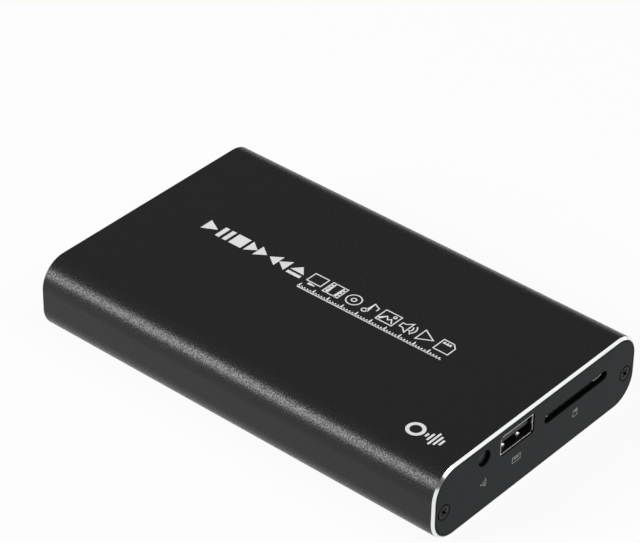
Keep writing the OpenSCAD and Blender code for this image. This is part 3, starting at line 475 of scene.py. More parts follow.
# %% [markdown]
# ## Metals
# Sheet, wire and turned parts show the way they were made: rolling and drawing leave fine lines along the
# piece, plating evens them out, and handling dulls the gloss in patches. One function covers them all,
# since only the colours, the size of the lines and the gloss differ.

# %% Drawn and plated metals
all_round = (1.0, 1.0, 1.0)
along_y = (1.0, 0.05, 1.0)


def drawn_metal(name, dark, light, gloss, line_width=0.08 * mm, stretch=along_y, depth=0.004 * mm, worn=None):
    """A metal with fine lines. gloss is its lowest and highest roughness, worn the colour of its edges."""
    material, tree, shader = new_material(name)
    lines = effect(tree, lines_group, width=line_width, stretch=stretch)
    marks = effect(tree, handling_group, size=9 * mm)
    color = mix_color(tree, lines["Tone"], dark, light)
    if worn:
        wear = effect(tree, wear_group, reach=0.12 * mm, breakup=0.8 * mm)
        color = mix_color(tree, wear["Mask"], color, worn)
    roughness = mapped(tree, marks["Patches"], 0, 1, *gloss)
    feed_shader(tree, shader, color, roughness, lines["Height"], depth, metallic=1.0)
    return material


zinc_sheet = drawn_metal(
    "zinc plated sheet", (0.42, 0.44, 0.46), (0.56, 0.58, 0.60), (0.28, 0.42), worn=(0.72, 0.74, 0.76))
plated_shell = drawn_metal(
    "nickel plated shell", (0.72, 0.715, 0.70), (0.86, 0.855, 0.84), (0.16, 0.26), depth=0.001 * mm)
steel_fastener = drawn_metal(
    "plated screw", (0.50, 0.50, 0.49), (0.66, 0.66, 0.65), (0.24, 0.36), stretch=all_round)
gold_contact = drawn_metal(
    "gold flash", (0.72, 0.48, 0.19), (0.88, 0.62, 0.27), (0.26, 0.38), depth=0.001 * mm)
cover_steel = drawn_metal(
    "brushed cover", (0.48, 0.49, 0.50), (0.64, 0.65, 0.66), (0.26, 0.36), stretch=(0.03, 1.0, 1.0))
drive_steel = drawn_metal(
    "ground steel", (0.44, 0.45, 0.46), (0.60, 0.61, 0.62), (0.22, 0.34), stretch=all_round)
can_aluminium = drawn_metal(
    "can aluminium", (0.66, 0.67, 0.68), (0.80, 0.81, 0.82), (0.22, 0.32), stretch=(1.0, 1.0, 0.04))
solder_tin = drawn_metal(
    "solder tin", (0.60, 0.60, 0.61), (0.76, 0.76, 0.77), (0.20, 0.38), 0.3 * mm, all_round, 0.02 * mm)
print("metals so far:", len(bpy.data.materials))

# %% [markdown]
# The shell of a socket is bright nickel on the outside and at its lip. Its inner walls get a painted shade: a
# near-black colour in place of the nickel, and a rougher gloss. One material does both: it measures how far a
# point lies within the box of its socket, and mixes the bright nickel with the painted shade by that.

# %% Socket shells
def within_box(tree, low, high, inset):
    """A mask of the points that lie within a box by more than an inset along each axis."""
    place = node(tree, "TexCoord").outputs["Object"]
    offset = node(tree, "VectorMath", {0: place, 1: (low + high) / 2}, operation="SUBTRACT").outputs[0]
    distance = node(tree, "VectorMath", {0: offset}, operation="ABSOLUTE").outputs[0]
    reach = (high - low) / 2 - Vector(inset)
    beyond = node(tree, "VectorMath", {0: distance, 1: reach}, operation="SUBTRACT").outputs[0]
    x, y, z = node(tree, "SeparateXYZ", {"Vector": beyond}).outputs
    farthest = math_node(tree, "MAXIMUM", math_node(tree, "MAXIMUM", x, y), z)
    return math_node(tree, "LESS_THAN", farthest, 0.0)


def socket_shell_finish():
    material, tree, shader = new_material("nickel socket shell")
    lines = effect(tree, lines_group, width=0.08 * mm, stretch=along_y)
    bright = mix_color(tree, lines["Tone"], (0.72, 0.715, 0.70), (0.86, 0.855, 0.84))
    shaded_inside = 0.0
    for name in ("usb_host_shell", "hdmi_shell", "data_port_shell"):
        for low, high in solids_of(name):
            part = within_box(tree, low, high, (0.2 * mm, 0.4 * mm, 0.2 * mm))
            shaded_inside = math_node(tree, "MAXIMUM", shaded_inside, part)
    # Painted shade: the inner walls of each shell are coloured near black.
    color = mix_color(tree, shaded_inside, bright, (0.060, 0.058, 0.055))
    roughness = mapped(tree, shaded_inside, 0, 1, 0.20, 0.40)
    feed_shader(tree, shader, color, roughness, lines["Height"], 0.001 * mm, metallic=1.0)
    return material


socket_shell = socket_shell_finish()

# %% [markdown]
# Some metals need more than lines. The black screws wear bright on the crown of the head, the drive's cast
# base has the fine skin of its mould, the magnet's nickel is mottled, and the coil is wound from lacquered
# wire whose turns show as a fine ribbing.

# %% Special metals
def black_screw_finish():
    material, tree, shader = new_material("black oxide screw")
    grain = effect(tree, grain_group, size=0.25 * mm)
    wear = effect(tree, wear_group, reach=0.10 * mm, breakup=0.7 * mm)
    black = mix_color(tree, grain["Tone"], (0.010, 0.010, 0.011), (0.018, 0.018, 0.019))
    color = mix_color(tree, wear["Mask"], black, (0.06, 0.06, 0.06))
    roughness = mapped(tree, grain["Tone"], 0, 1, 0.30, 0.42)
    feed_shader(tree, shader, color, roughness, grain["Height"], 0.008 * mm, specular_ior_level=0.09)
    return material


def cast_metal(name, dark, light, gloss, grain_size, depth, worn):
    """A mottled metal. gloss is its lowest and highest roughness, worn the colour of its edges."""
    material, tree, shader = new_material(name)
    grain = effect(tree, grain_group, size=grain_size)
    marks = effect(tree, handling_group, size=12 * mm)
    wear = effect(tree, wear_group, reach=0.15 * mm, breakup=1.5 * mm)
    mottled = mix_color(tree, marks["Patches"], dark, light)
    color = mix_color(tree, wear["Mask"], mottled, worn)
    roughness = mapped(tree, grain["Tone"], 0, 1, *gloss)
    feed_shader(tree, shader, color, roughness, grain["Height"], depth, metallic=1.0)
    return material


def wound_copper():
    material, tree, shader = new_material("lacquered copper wire")
    place = node(tree, "TexCoord").outputs["Object"]
    turns = node(tree, "TexWave", {
        "Vector": place, "Scale": 1 / (2.2 * mm), "Distortion": 0.6, "Detail": 1.0},
        wave_type="RINGS", rings_direction="Z").outputs["Fac"]
    color = mix_color(tree, turns, (0.30, 0.10, 0.04), (0.62, 0.27, 0.12))
    roughness = mapped(tree, turns, 0, 1, 0.42, 0.24)
    feed_shader(tree, shader, color, roughness, turns, 0.03 * mm, metallic=1.0, coat_weight=0.5,
                coat_roughness=0.15)
    return material


black_screw = black_screw_finish()
cast_aluminium = cast_metal(
    "cast aluminium", (0.42, 0.43, 0.44), (0.54, 0.55, 0.56), (0.36, 0.50), 0.5 * mm, 0.02 * mm,
    worn=(0.72, 0.73, 0.74))
nickel_magnet = cast_metal(
    "nickel on magnet", (0.52, 0.50, 0.47), (0.64, 0.62, 0.58), (0.18, 0.30), 1.2 * mm, 0.01 * mm,
    worn=(0.74, 0.72, 0.68))
platter_mirror = cast_metal(
    "platter", (0.78, 0.79, 0.80), (0.82, 0.83, 0.84), (0.03, 0.05), 0.2 * mm, 0.0001 * mm,
    worn=(0.85, 0.86, 0.87))
coil_copper = wound_copper()

# %% [markdown]
# ## Plastics, resins and rubber
# A moulded part takes the sparked texture of its mould, so its gloss is broken by a fine even grain. Chip
# resin is coarser and duller, window plastic is polished, and a silicone pad is soft and slightly dusty.

# %% Moulded finishes
def moulded(name, dark, light, gloss, grain_size=0.12 * mm, depth=0.006 * mm, edge=None, level=0.5):
    """A moulded part. gloss is its lowest and highest roughness, edge the colour of its rubbed edges."""
    material, tree, shader = new_material(name)
    grain = effect(tree, grain_group, size=grain_size)
    marks = effect(tree, handling_group, size=7 * mm)
    color = mix_color(tree, marks["Patches"], dark, light)
    if edge:
        wear = effect(tree, wear_group, reach=0.10 * mm, breakup=0.5 * mm)
        color = mix_color(tree, wear["Mask"], color, edge)
    roughness = mapped(tree, grain["Tone"], 0, 1, *gloss)
    feed_shader(tree, shader, color, roughness, grain["Height"], depth, specular_ior_level=level)
    return material


socket_plastic = moulded(
    "socket plastic", (0.012, 0.012, 0.013), (0.020, 0.020, 0.021), (0.34, 0.50),
    edge=(0.034, 0.034, 0.035), level=0.30)
infrared_plastic = moulded(
    "infrared window", (0.016, 0.021, 0.023), (0.022, 0.027, 0.029), (0.34, 0.44), depth=0.001 * mm)
ivory_plastic = moulded("ivory plastic", (0.68, 0.65, 0.56), (0.76, 0.73, 0.64), (0.38, 0.52))
chip_resin = moulded(
    "chip resin", (0.018, 0.018, 0.019), (0.026, 0.026, 0.027), (0.50, 0.66), 0.18 * mm, 0.01 * mm,
    edge=(0.06, 0.06, 0.06))
silicone_pad = moulded(
    "silicone pad", (0.30, 0.36, 0.42), (0.38, 0.44, 0.50), (0.62, 0.78), 0.25 * mm, 0.02 * mm)
label_grey = moulded(
    "grey label print", (0.34, 0.34, 0.34), (0.42, 0.42, 0.42), (0.50, 0.62), 0.20 * mm, 0.003 * mm)
print_silver = moulded(
    "silver print", (0.66, 0.66, 0.66), (0.72, 0.72, 0.72), (0.50, 0.62), 0.20 * mm, 0.003 * mm)


def dark_anodised(name, dark, light, gloss, level, shaded_hole_walls=False):
    """Dyed anodising, with its clear reflection set by level. The walls of a panel's holes can get a painted
    shade, near black.
    """
    material, tree, shader = new_material(name)
    grain = effect(tree, grain_group, size=0.25 * mm)
    wear = effect(tree, wear_group, reach=0.08 * mm, breakup=1.2 * mm)
    dyed = mix_color(tree, grain["Tone"], dark, light)
    color = mix_color(tree, wear["Mask"], dyed, [2.2 * v for v in light])
    # Painted shade: points more than 0.15 mm inside a panel's face, such as the walls of its holes, turn near
    # black.
    if shaded_hole_walls:
        along = node(tree, "SeparateXYZ", {"Vector": node(tree, "TexCoord").outputs["Object"]}).outputs["Y"]
        from_middle = math_node(tree, "ABSOLUTE", along)
        shaded_inside = mapped(tree, from_middle, rear_y - 0.15 * mm, rear_y - 0.5 * mm, 0.0, 1.0)
        color = mix_color(tree, shaded_inside, color, (0.0015, 0.0018, 0.002))
    roughness = mapped(tree, grain["Tone"], 0, 1, *gloss)
    feed_shader(tree, shader, color, roughness, grain["Height"], 0.02 * mm, specular_ior_level=level)
    return material


end_panel = dark_anodised(
    "end panel", (0.0062, 0.0083, 0.0095), (0.0088, 0.0109, 0.0122), (0.36, 0.42), 0.072, shaded_hole_walls=True)
black_heat_sink = dark_anodised("heat sink", (0.016, 0.016, 0.017), (0.026, 0.026, 0.027), (0.34, 0.48), 0.5)

# %% [markdown]
# ## Circuit board
# A board is glass laminate under a green lacquer. Copper tracks below it lift the lacquer a little and make
# it lighter. The tracks run in bundles, straight along one side or the other, so the board is split into
# cells by a Voronoi texture. Each cell's random colour says which way its bundle runs and whether there is
# one at all.

# %% Board tracks
tracks_group, given, out = new_group(
    "Board tracks", [("Pitch", "Float", 0.5 * mm), ("Bundle", "Float", 7 * mm)],
    [("Mask", "Float"), ("Vias", "Float")])
track_share = 0.42
crosswise_above = 0.5
tracks_above, poured_below = 0.4, 0.16
vias_per_pitch, via_size = 0.28, 0.13
place = node(tracks_group, "TexCoord").outputs["Object"]
cell_density = math_node(tracks_group, "DIVIDE", 1.0, given["Bundle"])
cells = node(tracks_group, "TexVoronoi", {
    "Vector": place, "Scale": cell_density, "Randomness": 0.8}, distance="CHEBYCHEV")
choice = node(tracks_group, "SeparateColor", {"Color": cells.outputs["Color"]}).outputs
along = node(tracks_group, "SeparateXYZ", {"Vector": place}).outputs
stripes = []
for side in (0, 1):
    count = math_node(tracks_group, "DIVIDE", along[side], given["Pitch"])
    part = math_node(tracks_group, "FRACT", count)
    stripes.append(math_node(tracks_group, "LESS_THAN", part, track_share))
crosswise = math_node(tracks_group, "GREATER_THAN", choice[0], crosswise_above)
bundle = node(tracks_group, "Mix", {0: crosswise, 2: stripes[0], 3: stripes[1]}, data_type="FLOAT").outputs[0]
tracked = math_node(tracks_group, "GREATER_THAN", choice[1], tracks_above)
bundle = math_node(tracks_group, "MULTIPLY", bundle, tracked)
poured = math_node(tracks_group, "LESS_THAN", choice[1], poured_below)
tracks_group.links.new(math_node(tracks_group, "MAXIMUM", bundle, poured), out["Mask"])
via_density = math_node(tracks_group, "DIVIDE", vias_per_pitch, given["Pitch"])
via_cells = node(tracks_group, "TexVoronoi", {"Vector": place, "Scale": via_density, "Randomness": 0.9})
flat_via = math_node(tracks_group, "LESS_THAN", via_cells.outputs["Distance"], via_size)
tracks_group.links.new(flat_via, out["Vias"])


def circuit_board_finish():
    material, tree, shader = new_material("circuit board")
    tracks = effect(tree, tracks_group, pitch=0.55 * mm, bundle=8 * mm)
    marks = effect(tree, handling_group, size=14 * mm)
    lacquer = mix_color(tree, tracks["Mask"], (0.006, 0.036, 0.020), (0.014, 0.075, 0.040))
    thin_dust = math_node(tree, "MULTIPLY", marks["Patches"], 0.25)
    dusty = mix_color(tree, thin_dust, lacquer, (0.030, 0.085, 0.055))
    via = math_node(tree, "MULTIPLY", tracks["Vias"], tracks["Mask"])
    color = mix_color(tree, via, dusty, (0.30, 0.28, 0.16))
    roughness = mapped(tree, marks["Patches"], 0, 1, 0.22, 0.34)
    feed_shader(tree, shader, color, roughness, tracks["Mask"], 0.025 * mm)
    return material


circuit_board = circuit_board_finish()
print("finishes:", sorted(m.name for m in bpy.data.materials))

# %% [markdown]
# ## The case sleeve
# The real sleeve is one length of extruded tube. Cutting it bright takes off a 45 degree edge at each end,
# and a shallow seat inside holds the panel. A loft through rounded rectangles gives all of that exactly:
# each ring is the outline inset by some amount at some place along the case, and the ring list reads like
# the cut section.

# %% Sleeve
corner_r = 8 * mm
wall = 1.5 * mm
rim_cut = 0.67 * mm
panel_low, panel_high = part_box("front_panel")
panel_t = panel_high.y - panel_low.y
rim_wall = wall - 0.4 * mm
soft_edge = 0.06 * mm


def case_ring(y, inset):
    """The outline of the case, inset by some amount, at a place along it."""
    outline = rounded_outline(body_w - 2 * inset, body_h - 2 * inset, corner_r - inset, 20)
    return [(x, y, z + body_h / 2) for x, z in outline]


half_l = body_l / 2
end_rings = [
    (half_l - rim_cut - soft_edge, 0.0), (half_l - rim_cut + soft_edge / 2, soft_edge / 2), (half_l, rim_cut),
    (half_l, rim_wall - soft_edge), (half_l - soft_edge, rim_wall), (half_l - panel_t, rim_wall),
    (half_l - panel_t, wall)]
section = [(-y, inset) for y, inset in reversed(end_rings)] + end_rings
# The cut lies between the second and the third ring of each end.
front_cut, rear_cut = len(end_rings) - 3, len(end_rings) + 1
bm = bmesh.new()
bands = skin(bm, [case_ring(y, inset) for y, inset in section], closed=True)
for face in bands[front_cut] + bands[rear_cut]:
    face.material_index = 1
sleeve = new_piece("case_sleeve", bm, "housing", "anodised_case", case_black, rim_bright)
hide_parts("housing_sleeve")
print("bands of the sleeve:", len(bands))

# %% [markdown]
# Inside, the extrusion carries two screw channels, two glides under the tray and two strips that hold the
# board down. They are closed bars joined into the wall with an exact boolean, and the thread bores are cut
# after it.

# %% Channels, glides and strips
inner_x = body_w / 2 - wall
rooted = 0.3 * mm
screw_low, screw_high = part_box("front_panel_screws")
board_low, board_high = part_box("main_board")
tray_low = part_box("drive_tray")[0]
screw_z = (screw_low.z + screw_high.z) / 2
screw_head_r = (screw_high.z - screw_low.z) / 2
screw_x = screw_high.x - screw_head_r
run_gap = 0.1 * mm
shelf_z = board_low.z - run_gap
channel_r = shelf_z - screw_z - 0.05 * mm
thread_bore_r = 1.3 * mm
glide_near, glide_far = 22 * mm, 25 * mm
glide_top = tray_low.z - run_gap
strip_w, strip_t = 1.5 * mm, 0.8 * mm
strip_low = board_high.z + run_gap
rail_front = front_y + panel_t + 0.7 * mm
rail_rear = rear_y - panel_t - run_gap

bars = bmesh.new()
for side in (-1, 1):
    channel = arc(screw_x, screw_z, channel_r, 90, 360, 20)
    channel = [(inner_x + rooted, shelf_z), (screw_x, shelf_z)] + channel + [(inner_x + rooted, screw_z)]
    glide = rectangle(glide_near, wall - rooted, glide_far, glide_top)
    strip = rectangle(inner_x - strip_w, strip_low, inner_x + rooted, strip_low + strip_t)
    for outline in (channel, glide, strip):
        plate(bars, [(side * x, z) for x, z in outline], rail_front, rail_rear, axis="y")
rails = new_piece("rails", bars, "housing", "anodised_case", case_black)
join_mesh(sleeve, rails, "UNION")
bores = bmesh.new()
bore_profile = [(thread_bore_r, rail_front - mm), (thread_bore_r, rail_rear + mm)]
for side in (-1, 1):
    lathe(bores, bore_profile, (side * screw_x, 0, screw_z), "y", 24)
bore_tool = new_piece("bores", bores, "housing", "anodised_case", case_black)
join_mesh(sleeve, bore_tool, "DIFFERENCE")
even_shading(sleeve)
print("faces of the sleeve:", len(sleeve.data.polygons))

# %% [markdown]
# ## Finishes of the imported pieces
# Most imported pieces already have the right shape, so they only get a finish and small rounded edges. The
# edge widths follow how each is made: folded sheet has the roundest edges, moulded chips have softer ones
# than cut steel, and a disk platter has almost none.

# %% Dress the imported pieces
plain_finishes = [
    (end_panel, 0.18 * mm, ["front_panel", "rear_panel"]),
    (zinc_sheet, 0.16 * mm, ["drive_tray"]),
    (steel_fastener, 0.08 * mm, ["board_standoffs", "board_screws", "drive_screws", "drive_cover_screws"]),
    (circuit_board, 0.05 * mm, ["main_board", "drive_board"]),
    (infrared_plastic, 0.10 * mm, ["ir_window", "ir_receiver"]),
    (socket_shell, 0.07 * mm, ["usb_host_shell", "hdmi_shell", "data_port_shell"]),
    (plated_shell, 0.05 * mm, ["card_socket_shell", "dc_jack_pin", "clock_crystal"]),
    (socket_plastic, 0.08 * mm, ["usb_host_tongue", "card_socket_base", "drive_socket", "drive_plug"]),
    (socket_plastic, 0.15 * mm, ["hdmi_tongue", "av_jack", "dc_jack", "data_port_tongue"]),
    (gold_contact, 0.03 * mm, ["usb_host_contacts", "card_socket_contacts"]),
    (ivory_plastic, 0.07 * mm, ["card_ejector", "parking_ramp"]),
    (chip_resin, 0.07 * mm, ["media_processor", "memory_chips", "bridge_chip"]),
    (chip_resin, 0.25 * mm, ["power_inductors"]),
    (silicone_pad, 0.08 * mm, ["thermal_pad"]),
    (black_heat_sink, 0.10 * mm, ["heat_sink"]),
    (cast_aluminium, 0.12 * mm, ["drive_base", "actuator_arm"]),
    (cover_steel, 0.15 * mm, ["drive_cover"]),
    (drive_steel, 0.06 * mm, ["spindle_bearing", "pivot_pin", "magnet_yokes", "platter_clamp", "spindle_hub",
                              "read_heads"]),
    (nickel_magnet, 0.06 * mm, ["coil_magnets"]),
    (platter_mirror, 0.04 * mm, ["platter"]),
    (coil_copper, 0.15 * mm, ["voice_coil"]),
]
for finish, width, names in plain_finishes:
    for name in names:
        dress(name, finish, width)
print("dressed pieces:", sum(len(names) for finish, width, names in plain_finishes))

# %% [markdown]
# ## Panel screws
# A countersunk screw with a slightly domed head lies just below the face, in a sink that leaves a fine dark
# ring around it. The head is one spun profile. Its cross is cut with an exact boolean, as a punch leaves
# it, because the flat walls of the recess are what the eye looks for.

# %% Panel screws
def panel_screw(name, at, out, body):
    """A domed countersunk screw in the outer face of a panel. out is -1 at the front and 1 at the rear."""
    reach = screw_head_r - 0.33 * mm
    rim, crown = 0.07 * mm, 0.02 * mm
    thread_r, length = 1.2 * mm, 8 * mm
    shank = [(thread_r - 0.3 * mm, -length), (thread_r, -length + 0.4 * mm)]
    shank += [(thread_r, -rim - (reach - thread_r))]
    head = [(reach, -rim - 0.08 * mm), (reach, -rim)] + dome(reach, rim - crown, (30, 55, 75), -rim)
    profile = shank + head + [(0.02 * mm, -crown)]
    bm = bmesh.new()
    lathe(bm, [(r, out * h) for r, h in profile], at, "y", 40)
    screw = new_piece(name, bm, body, "black_screw", black_screw)
    arm, thick, deep = 2.3 * mm, 0.62 * mm, 0.95 * mm
    for angle in (45, 135):
        cutter = bmesh.new()
        outline = turned(oblong(arm, thick), angle, at[0], at[2])
        plate(cutter, outline, *sorted((at[1] - out * deep, at[1] + out * mm)), axis="y")
        join_mesh(screw, new_piece("cross", cutter, body, "black_screw", black_screw), "DIFFERENCE")
    return even_shading(screw, 40)


for label, face, out, body in (("front", front_y, -1, "tray"), ("rear", rear_y, 1, "housing")):
    for side, x in (("left", -screw_x), ("right", screw_x)):
        screw = panel_screw(f"{label}_screw_{side}", (x, face, screw_z), out, body)
        if side == "left":
            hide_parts(f"{label}_panel_screws")
print("screw heads at z, mm:", round(screw_z / mm, 2))

# %% [markdown]
# ## Spring noses and card lips
# In a USB-A socket, sprung tongues in the shell press on the plug with rounded noses, and these catch the
# light deep in the dark opening. The card socket's roof runs forward into the slot as thin lips that guide
# the card.

# %% Spring noses and card lips
usb_low, usb_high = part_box("usb_host_shell")
usb_x = (usb_low.x + usb_high.x) / 2
usb_h = 5.72 * mm
steel_t = 0.3 * mm
usb_floor = usb_high.z - usb_h + steel_t
nose_r, nose_tall, nose_deep = 0.9 * mm, 0.72 * mm, 2.45 * mm
nose_dome = dome(nose_r, nose_tall, (0, 18, 36, 54, 70, 83))
nose_profile = [(nose_r, -0.15 * mm)] + nose_dome + [(0.01 * mm, nose_tall)]
bm = bmesh.new()
for x in (-3 * mm, 3 * mm):
    lathe(bm, nose_profile, (usb_x + x, usb_low.y + nose_deep, usb_floor), "z", 28)
even_shading(new_piece("usb_spring_noses", bm, "tray", "plated_shell", plated_shell))

card_low, card_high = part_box("card_socket_shell")
card_x = (card_low.x + card_high.x) / 2
slot_z = 13.97 * mm
lip_t = 0.14 * mm
lip_front = front_y + 0.2 * mm
lip_rear = card_low.y + 0.5 * mm
bm = bmesh.new()
flared = [(7.2, 0.84), (8.0, 0.74), (9.0, 0.72), (9.9, 0.83), (10.5, 1.00), (10.9, 1.21)]
short = [(-12.45, 0.84), (-12.0, 0.74), (-11.6, 0.78)]
for lip in (flared, short):
    rings = []
    for x, z in lip:
        cut = rectangle(lip_front, slot_z + z * mm, lip_rear, slot_z + z * mm + lip_t)
        rings.append([(card_x + x * mm, y, h) for y, h in cut])
    skin(bm, rings, caps=True)
round_edges(new_piece("card_socket_lips", bm, "tray", "plated_shell", plated_shell), 0.05 * mm)

board_top = board_high.z
sill_low = (card_low.x + 0.25 * mm, card_low.y + 0.05 * mm, board_top)
sill_high = (card_high.x - 0.25 * mm, card_low.y + 0.6 * mm, board_top + 0.5 * mm)
bm = bmesh.new()
block(bm, sill_low, sill_high)
round_edges(new_piece("card_socket_sill", bm, "tray", "socket_plastic", socket_plastic), 0.08 * mm)
print("middle of the card slot, mm:", round(slot_z / mm, 2))

# %% [markdown]
# ## Print on the case
# The print on the top reads from the rear to the front, with its feet to the left side. It is screen
# printed, so it lies a hair above the surface and has crisp edges. Every sign is built from two things:
# filled outlines, and lines along some points with mitred corners. Both become thin closed plates. A canvas
# turns the drawing plane of the print into places on the case.

# %% Print helpers
ink = 0.02 * mm
sunk = 0.01 * mm
sharpest_mitre = 0.35


class Canvas:
    """Collects thin plates on a flat face. u runs along the words and v towards their top, in millimetres."""

    def __init__(self, origin, u_axis, v_axis):
        self.bm = bmesh.new()
        self.origin, self.u, self.v = Vector(origin), Vector(u_axis), Vector(v_axis)
        self.out = self.u.cross(self.v)

    def place(self, x, y, height):
        return self.origin + self.u * (x * mm) + self.v * (y * mm) + self.out * height

    def fill(self, outline):
        """A filled shape."""
        skin(self.bm, [[self.place(x, y, height) for x, y in outline] for height in (-sunk, ink)], caps=True)

    def stroke(self, points, width, closed=False):
        """A line with mitred corners. An open line is broad at its first point, where the pen is set down."""
        places = [Vector(point) for point in points]
        last = len(places) - 1
        rings = []
        for k, here in enumerate(places):
            before = here - places[k - 1] if closed or k > 0 else Vector((0, 0))
            after = places[(k + 1) % len(places)] - here if closed or k < last else Vector((0, 0))
            before.normalize()
            after.normalize()
            mitre = Vector((-before.y - after.y, before.x + after.x)).normalized()
            reach = width / 2 / max(sharpest_mitre, mitre.dot(Vector((-before.y, before.x))))
            left, right = here + mitre * reach, here - mitre * reach
            rings.append([self.place(x, y, h) for (x, y), h in
                          ((left, -sunk), (right, -sunk), (right, ink), (left, ink))])
        skin(self.bm, rings, closed=closed, caps=not closed)

    def sign(self, x, y, width=0.0, outlines=(), lines=(), filled=()):
        """One sign at a place, made of closed outlines, open lines and filled shapes."""
        for points in outlines:
            self.stroke(moved(points, x, y), width, closed=True)
        for points in lines:
            self.stroke(moved(points, x, y), width)
        for points in filled:
            self.fill(moved(points, x, y))

    def finish(self, name, body, material):
        """The piece that all of the canvas makes."""
        return new_piece(name, self.bm, body, "ivory_plastic", material)


# %% [markdown]
# The large signs are the ones on any remote control: play, pause, stop, forward, rewind and eject. The
# outlined ones stand for what such a player has: a screen, a film frame, a disc, a note, a picture, sound,
# play and a memory card. A row of ticks like a time scale runs below them. A ring for a disc and the
# upright bars of a sound level fill the front corner.

# %% Print on the top
def arrow(x, w):
    """A solid arrow head that points along the words, or back where w is negative."""
    return [(x, 0), (x + w, sign_h / 2), (x, sign_h)]


def bar(x, w, h):
    return rectangle(x, 0, x + w, h)


top = Canvas((0, 0, body_h), (0, -1, 0), (1, 0, 0))
sign_h = 4.6
sign_gap = 0.95
solid_signs = [
    (4.2, [arrow(0, 4.2)]),
    (3.8, [bar(0, 1.4, sign_h), bar(2.4, 1.4, sign_h)]),
    (4.2, [bar(0, 4.2, sign_h)]),
    (6.5, [arrow(0, 3.2), arrow(3.3, 3.2)]),
    (6.5, [arrow(3.2, -3.2), arrow(6.5, -3.2)]),
    (4.6, [bar(0, 4.6, 1.1), [(0, 1.9), (4.6, 1.9), (2.3, sign_h)]]),
]
u, feet = -46.5, -0.6
for width, shapes in solid_signs:
    top.sign(u, feet, filled=shapes)
    u += width + sign_gap
print("solid signs end at y, mm:", round(sign_gap - u, 1))

line_w = 0.34
outline_signs = [
    (4.6, [rectangle(0, 0.9, 4.6, 4.6)], [[(1.2, 0), (3.4, 0)]]),
    (5.0, [rectangle(0, 0, 5, 4.6)], [[(1.1, 0), (1.1, 4.6)], [(3.9, 0), (3.9, 4.6)]]
          + [[(x, y), (x + 0.5, y)] for x in (0.3, 4.2) for y in (1.15, 2.3, 3.45)]),
    (4.6, [circle(2.3, 2.3, 2.15, 24), circle(2.3, 2.3, 0.7, 12)], []),
    (3.8, [circle(0.9, 0.8, 0.75, 12)], [[(1.6, 0.8), (1.6, 4.5), (3.6, 3.6), (3.6, 2.4)]]),
    (5.2, [rectangle(0, 0, 5.2, 4.6), circle(3.8, 3.4, 0.45, 8)],
          [[(0.5, 0.6), (1.9, 2.6), (2.9, 1.4), (3.6, 2.2), (4.7, 0.6)]]),
    (4.9, [[(0, 1.5), (1.1, 1.5), (2.6, 0.1), (2.6, 4.5), (1.1, 3.1), (0, 3.1)]],
          [arc(2.4, 2.3, 1.3, -50, 50, 6), arc(2.4, 2.3, 2.3, -50, 50, 8)]),
    (4.4, [[(0, 0), (4.1, 2.3), (0, 4.6)]], []),
    (4.6, [[(0, 0), (4.6, 0), (4.6, 3.2), (3.2, 4.6), (0, 4.6)]],
          [[(x, 3.1), (x, 4.0)] for x in (1.0, 1.9, 2.8)]),
]
outline_start, outline_end = -10.0, 37.3
free = outline_end - outline_start - sum(width for width, outlines, lines in outline_signs)
gap = free / (len(outline_signs) - 1)
u = outline_start
for width, outlines, lines in outline_signs:
    top.sign(u, feet, line_w, outlines, lines)
    u += width + gap
print("gap of the outlined signs, mm:", round(gap, 2))

tick_pitch = 0.95
tick_w = 0.26
scale_v = -3.3
for k in range(int((outline_end - outline_start) / tick_pitch) + 1):
    tall = 1.7 if k % 5 == 0 else 0.8
    x = outline_start + k * tick_pitch
    top.stroke([(x, scale_v), (x, scale_v + tall)], tick_w)
top.stroke([(outline_start, scale_v), (outline_end, scale_v)], tick_w)

ring_u, ring_v = 50.2, -28.8
top.stroke(circle(ring_u, ring_v, 2.1, 36), 1.0, closed=True)
for k, tall in enumerate((1.4, 3.0, 5.2, 3.8, 2.2)):
    top.fill(moved(bar(0, 0.6, tall), ring_u + 3.2 + 1.15 * k, ring_v - tall / 2))
top_print = top.finish("top_print", "housing", print_silver)

# %% [markdown]
# Below the sockets on the front panel, small signs say what each is for: waves for the infrared hole, a
# plug with its tongue for the data socket, and a card with a cut corner for the card slot.

# %% Print on the front panel
ir_low, ir_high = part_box("ir_window")
ir_x = (ir_low.x + ir_high.x) / 2
front = Canvas((0, front_y, 0), (1, 0, 0), (0, 0, 1))
panel_line = 0.17
label_z = 8.1
front.sign(ir_x / mm - 0.9, label_z + 0.9, panel_line,
           lines=[arc(0, 0, r, -38, 38, 6) for r in (0.8, 1.4, 2.0)], filled=[circle(0, 0, 0.28, 8)])
front.sign(usb_x / mm, label_z, panel_line,
           outlines=[rectangle(-1.6, 0, 1.6, 1.7)], filled=[rectangle(-1.0, 0.9, 1.0, 1.25)])
card_shape = [(-0.85, 0), (0.85, 0), (0.85, 2.0), (-0.35, 2.0), (-0.85, 1.5)]
front.sign(card_x / mm, label_z, panel_line, outlines=[card_shape])
front.sign(card_x / mm, label_z, 0.16, lines=[[(x, 1.35), (x, 1.75)] for x in (-0.3, 0.1, 0.5)])
front_print = front.finish("front_print", "tray", label_grey)
print("prints, faces:", len(top_print.data.polygons), len(front_print.data.polygons))

# %% [markdown]
# ## Capacitors
# These cans are drawn from aluminium over a rubber bung and crimped near the foot. A black seat with two
# cut corners carries each, and a printed dark segment marks the minus side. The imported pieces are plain
# cylinders on plates, so spun profiles take their place. Board parts sit at any angle, so outlines are
# turned as they are placed.

# %% Capacitor cans
def on_board(bm, outline, angle, x, y, low, high, material=0):
    """A flat piece on the board: an outline turned and placed, from low to high above it, all in mm."""
    place = scaled(turned(outline, angle, x, y))
    plate(bm, place, board_top + low * mm, board_top + high * mm, material=material)


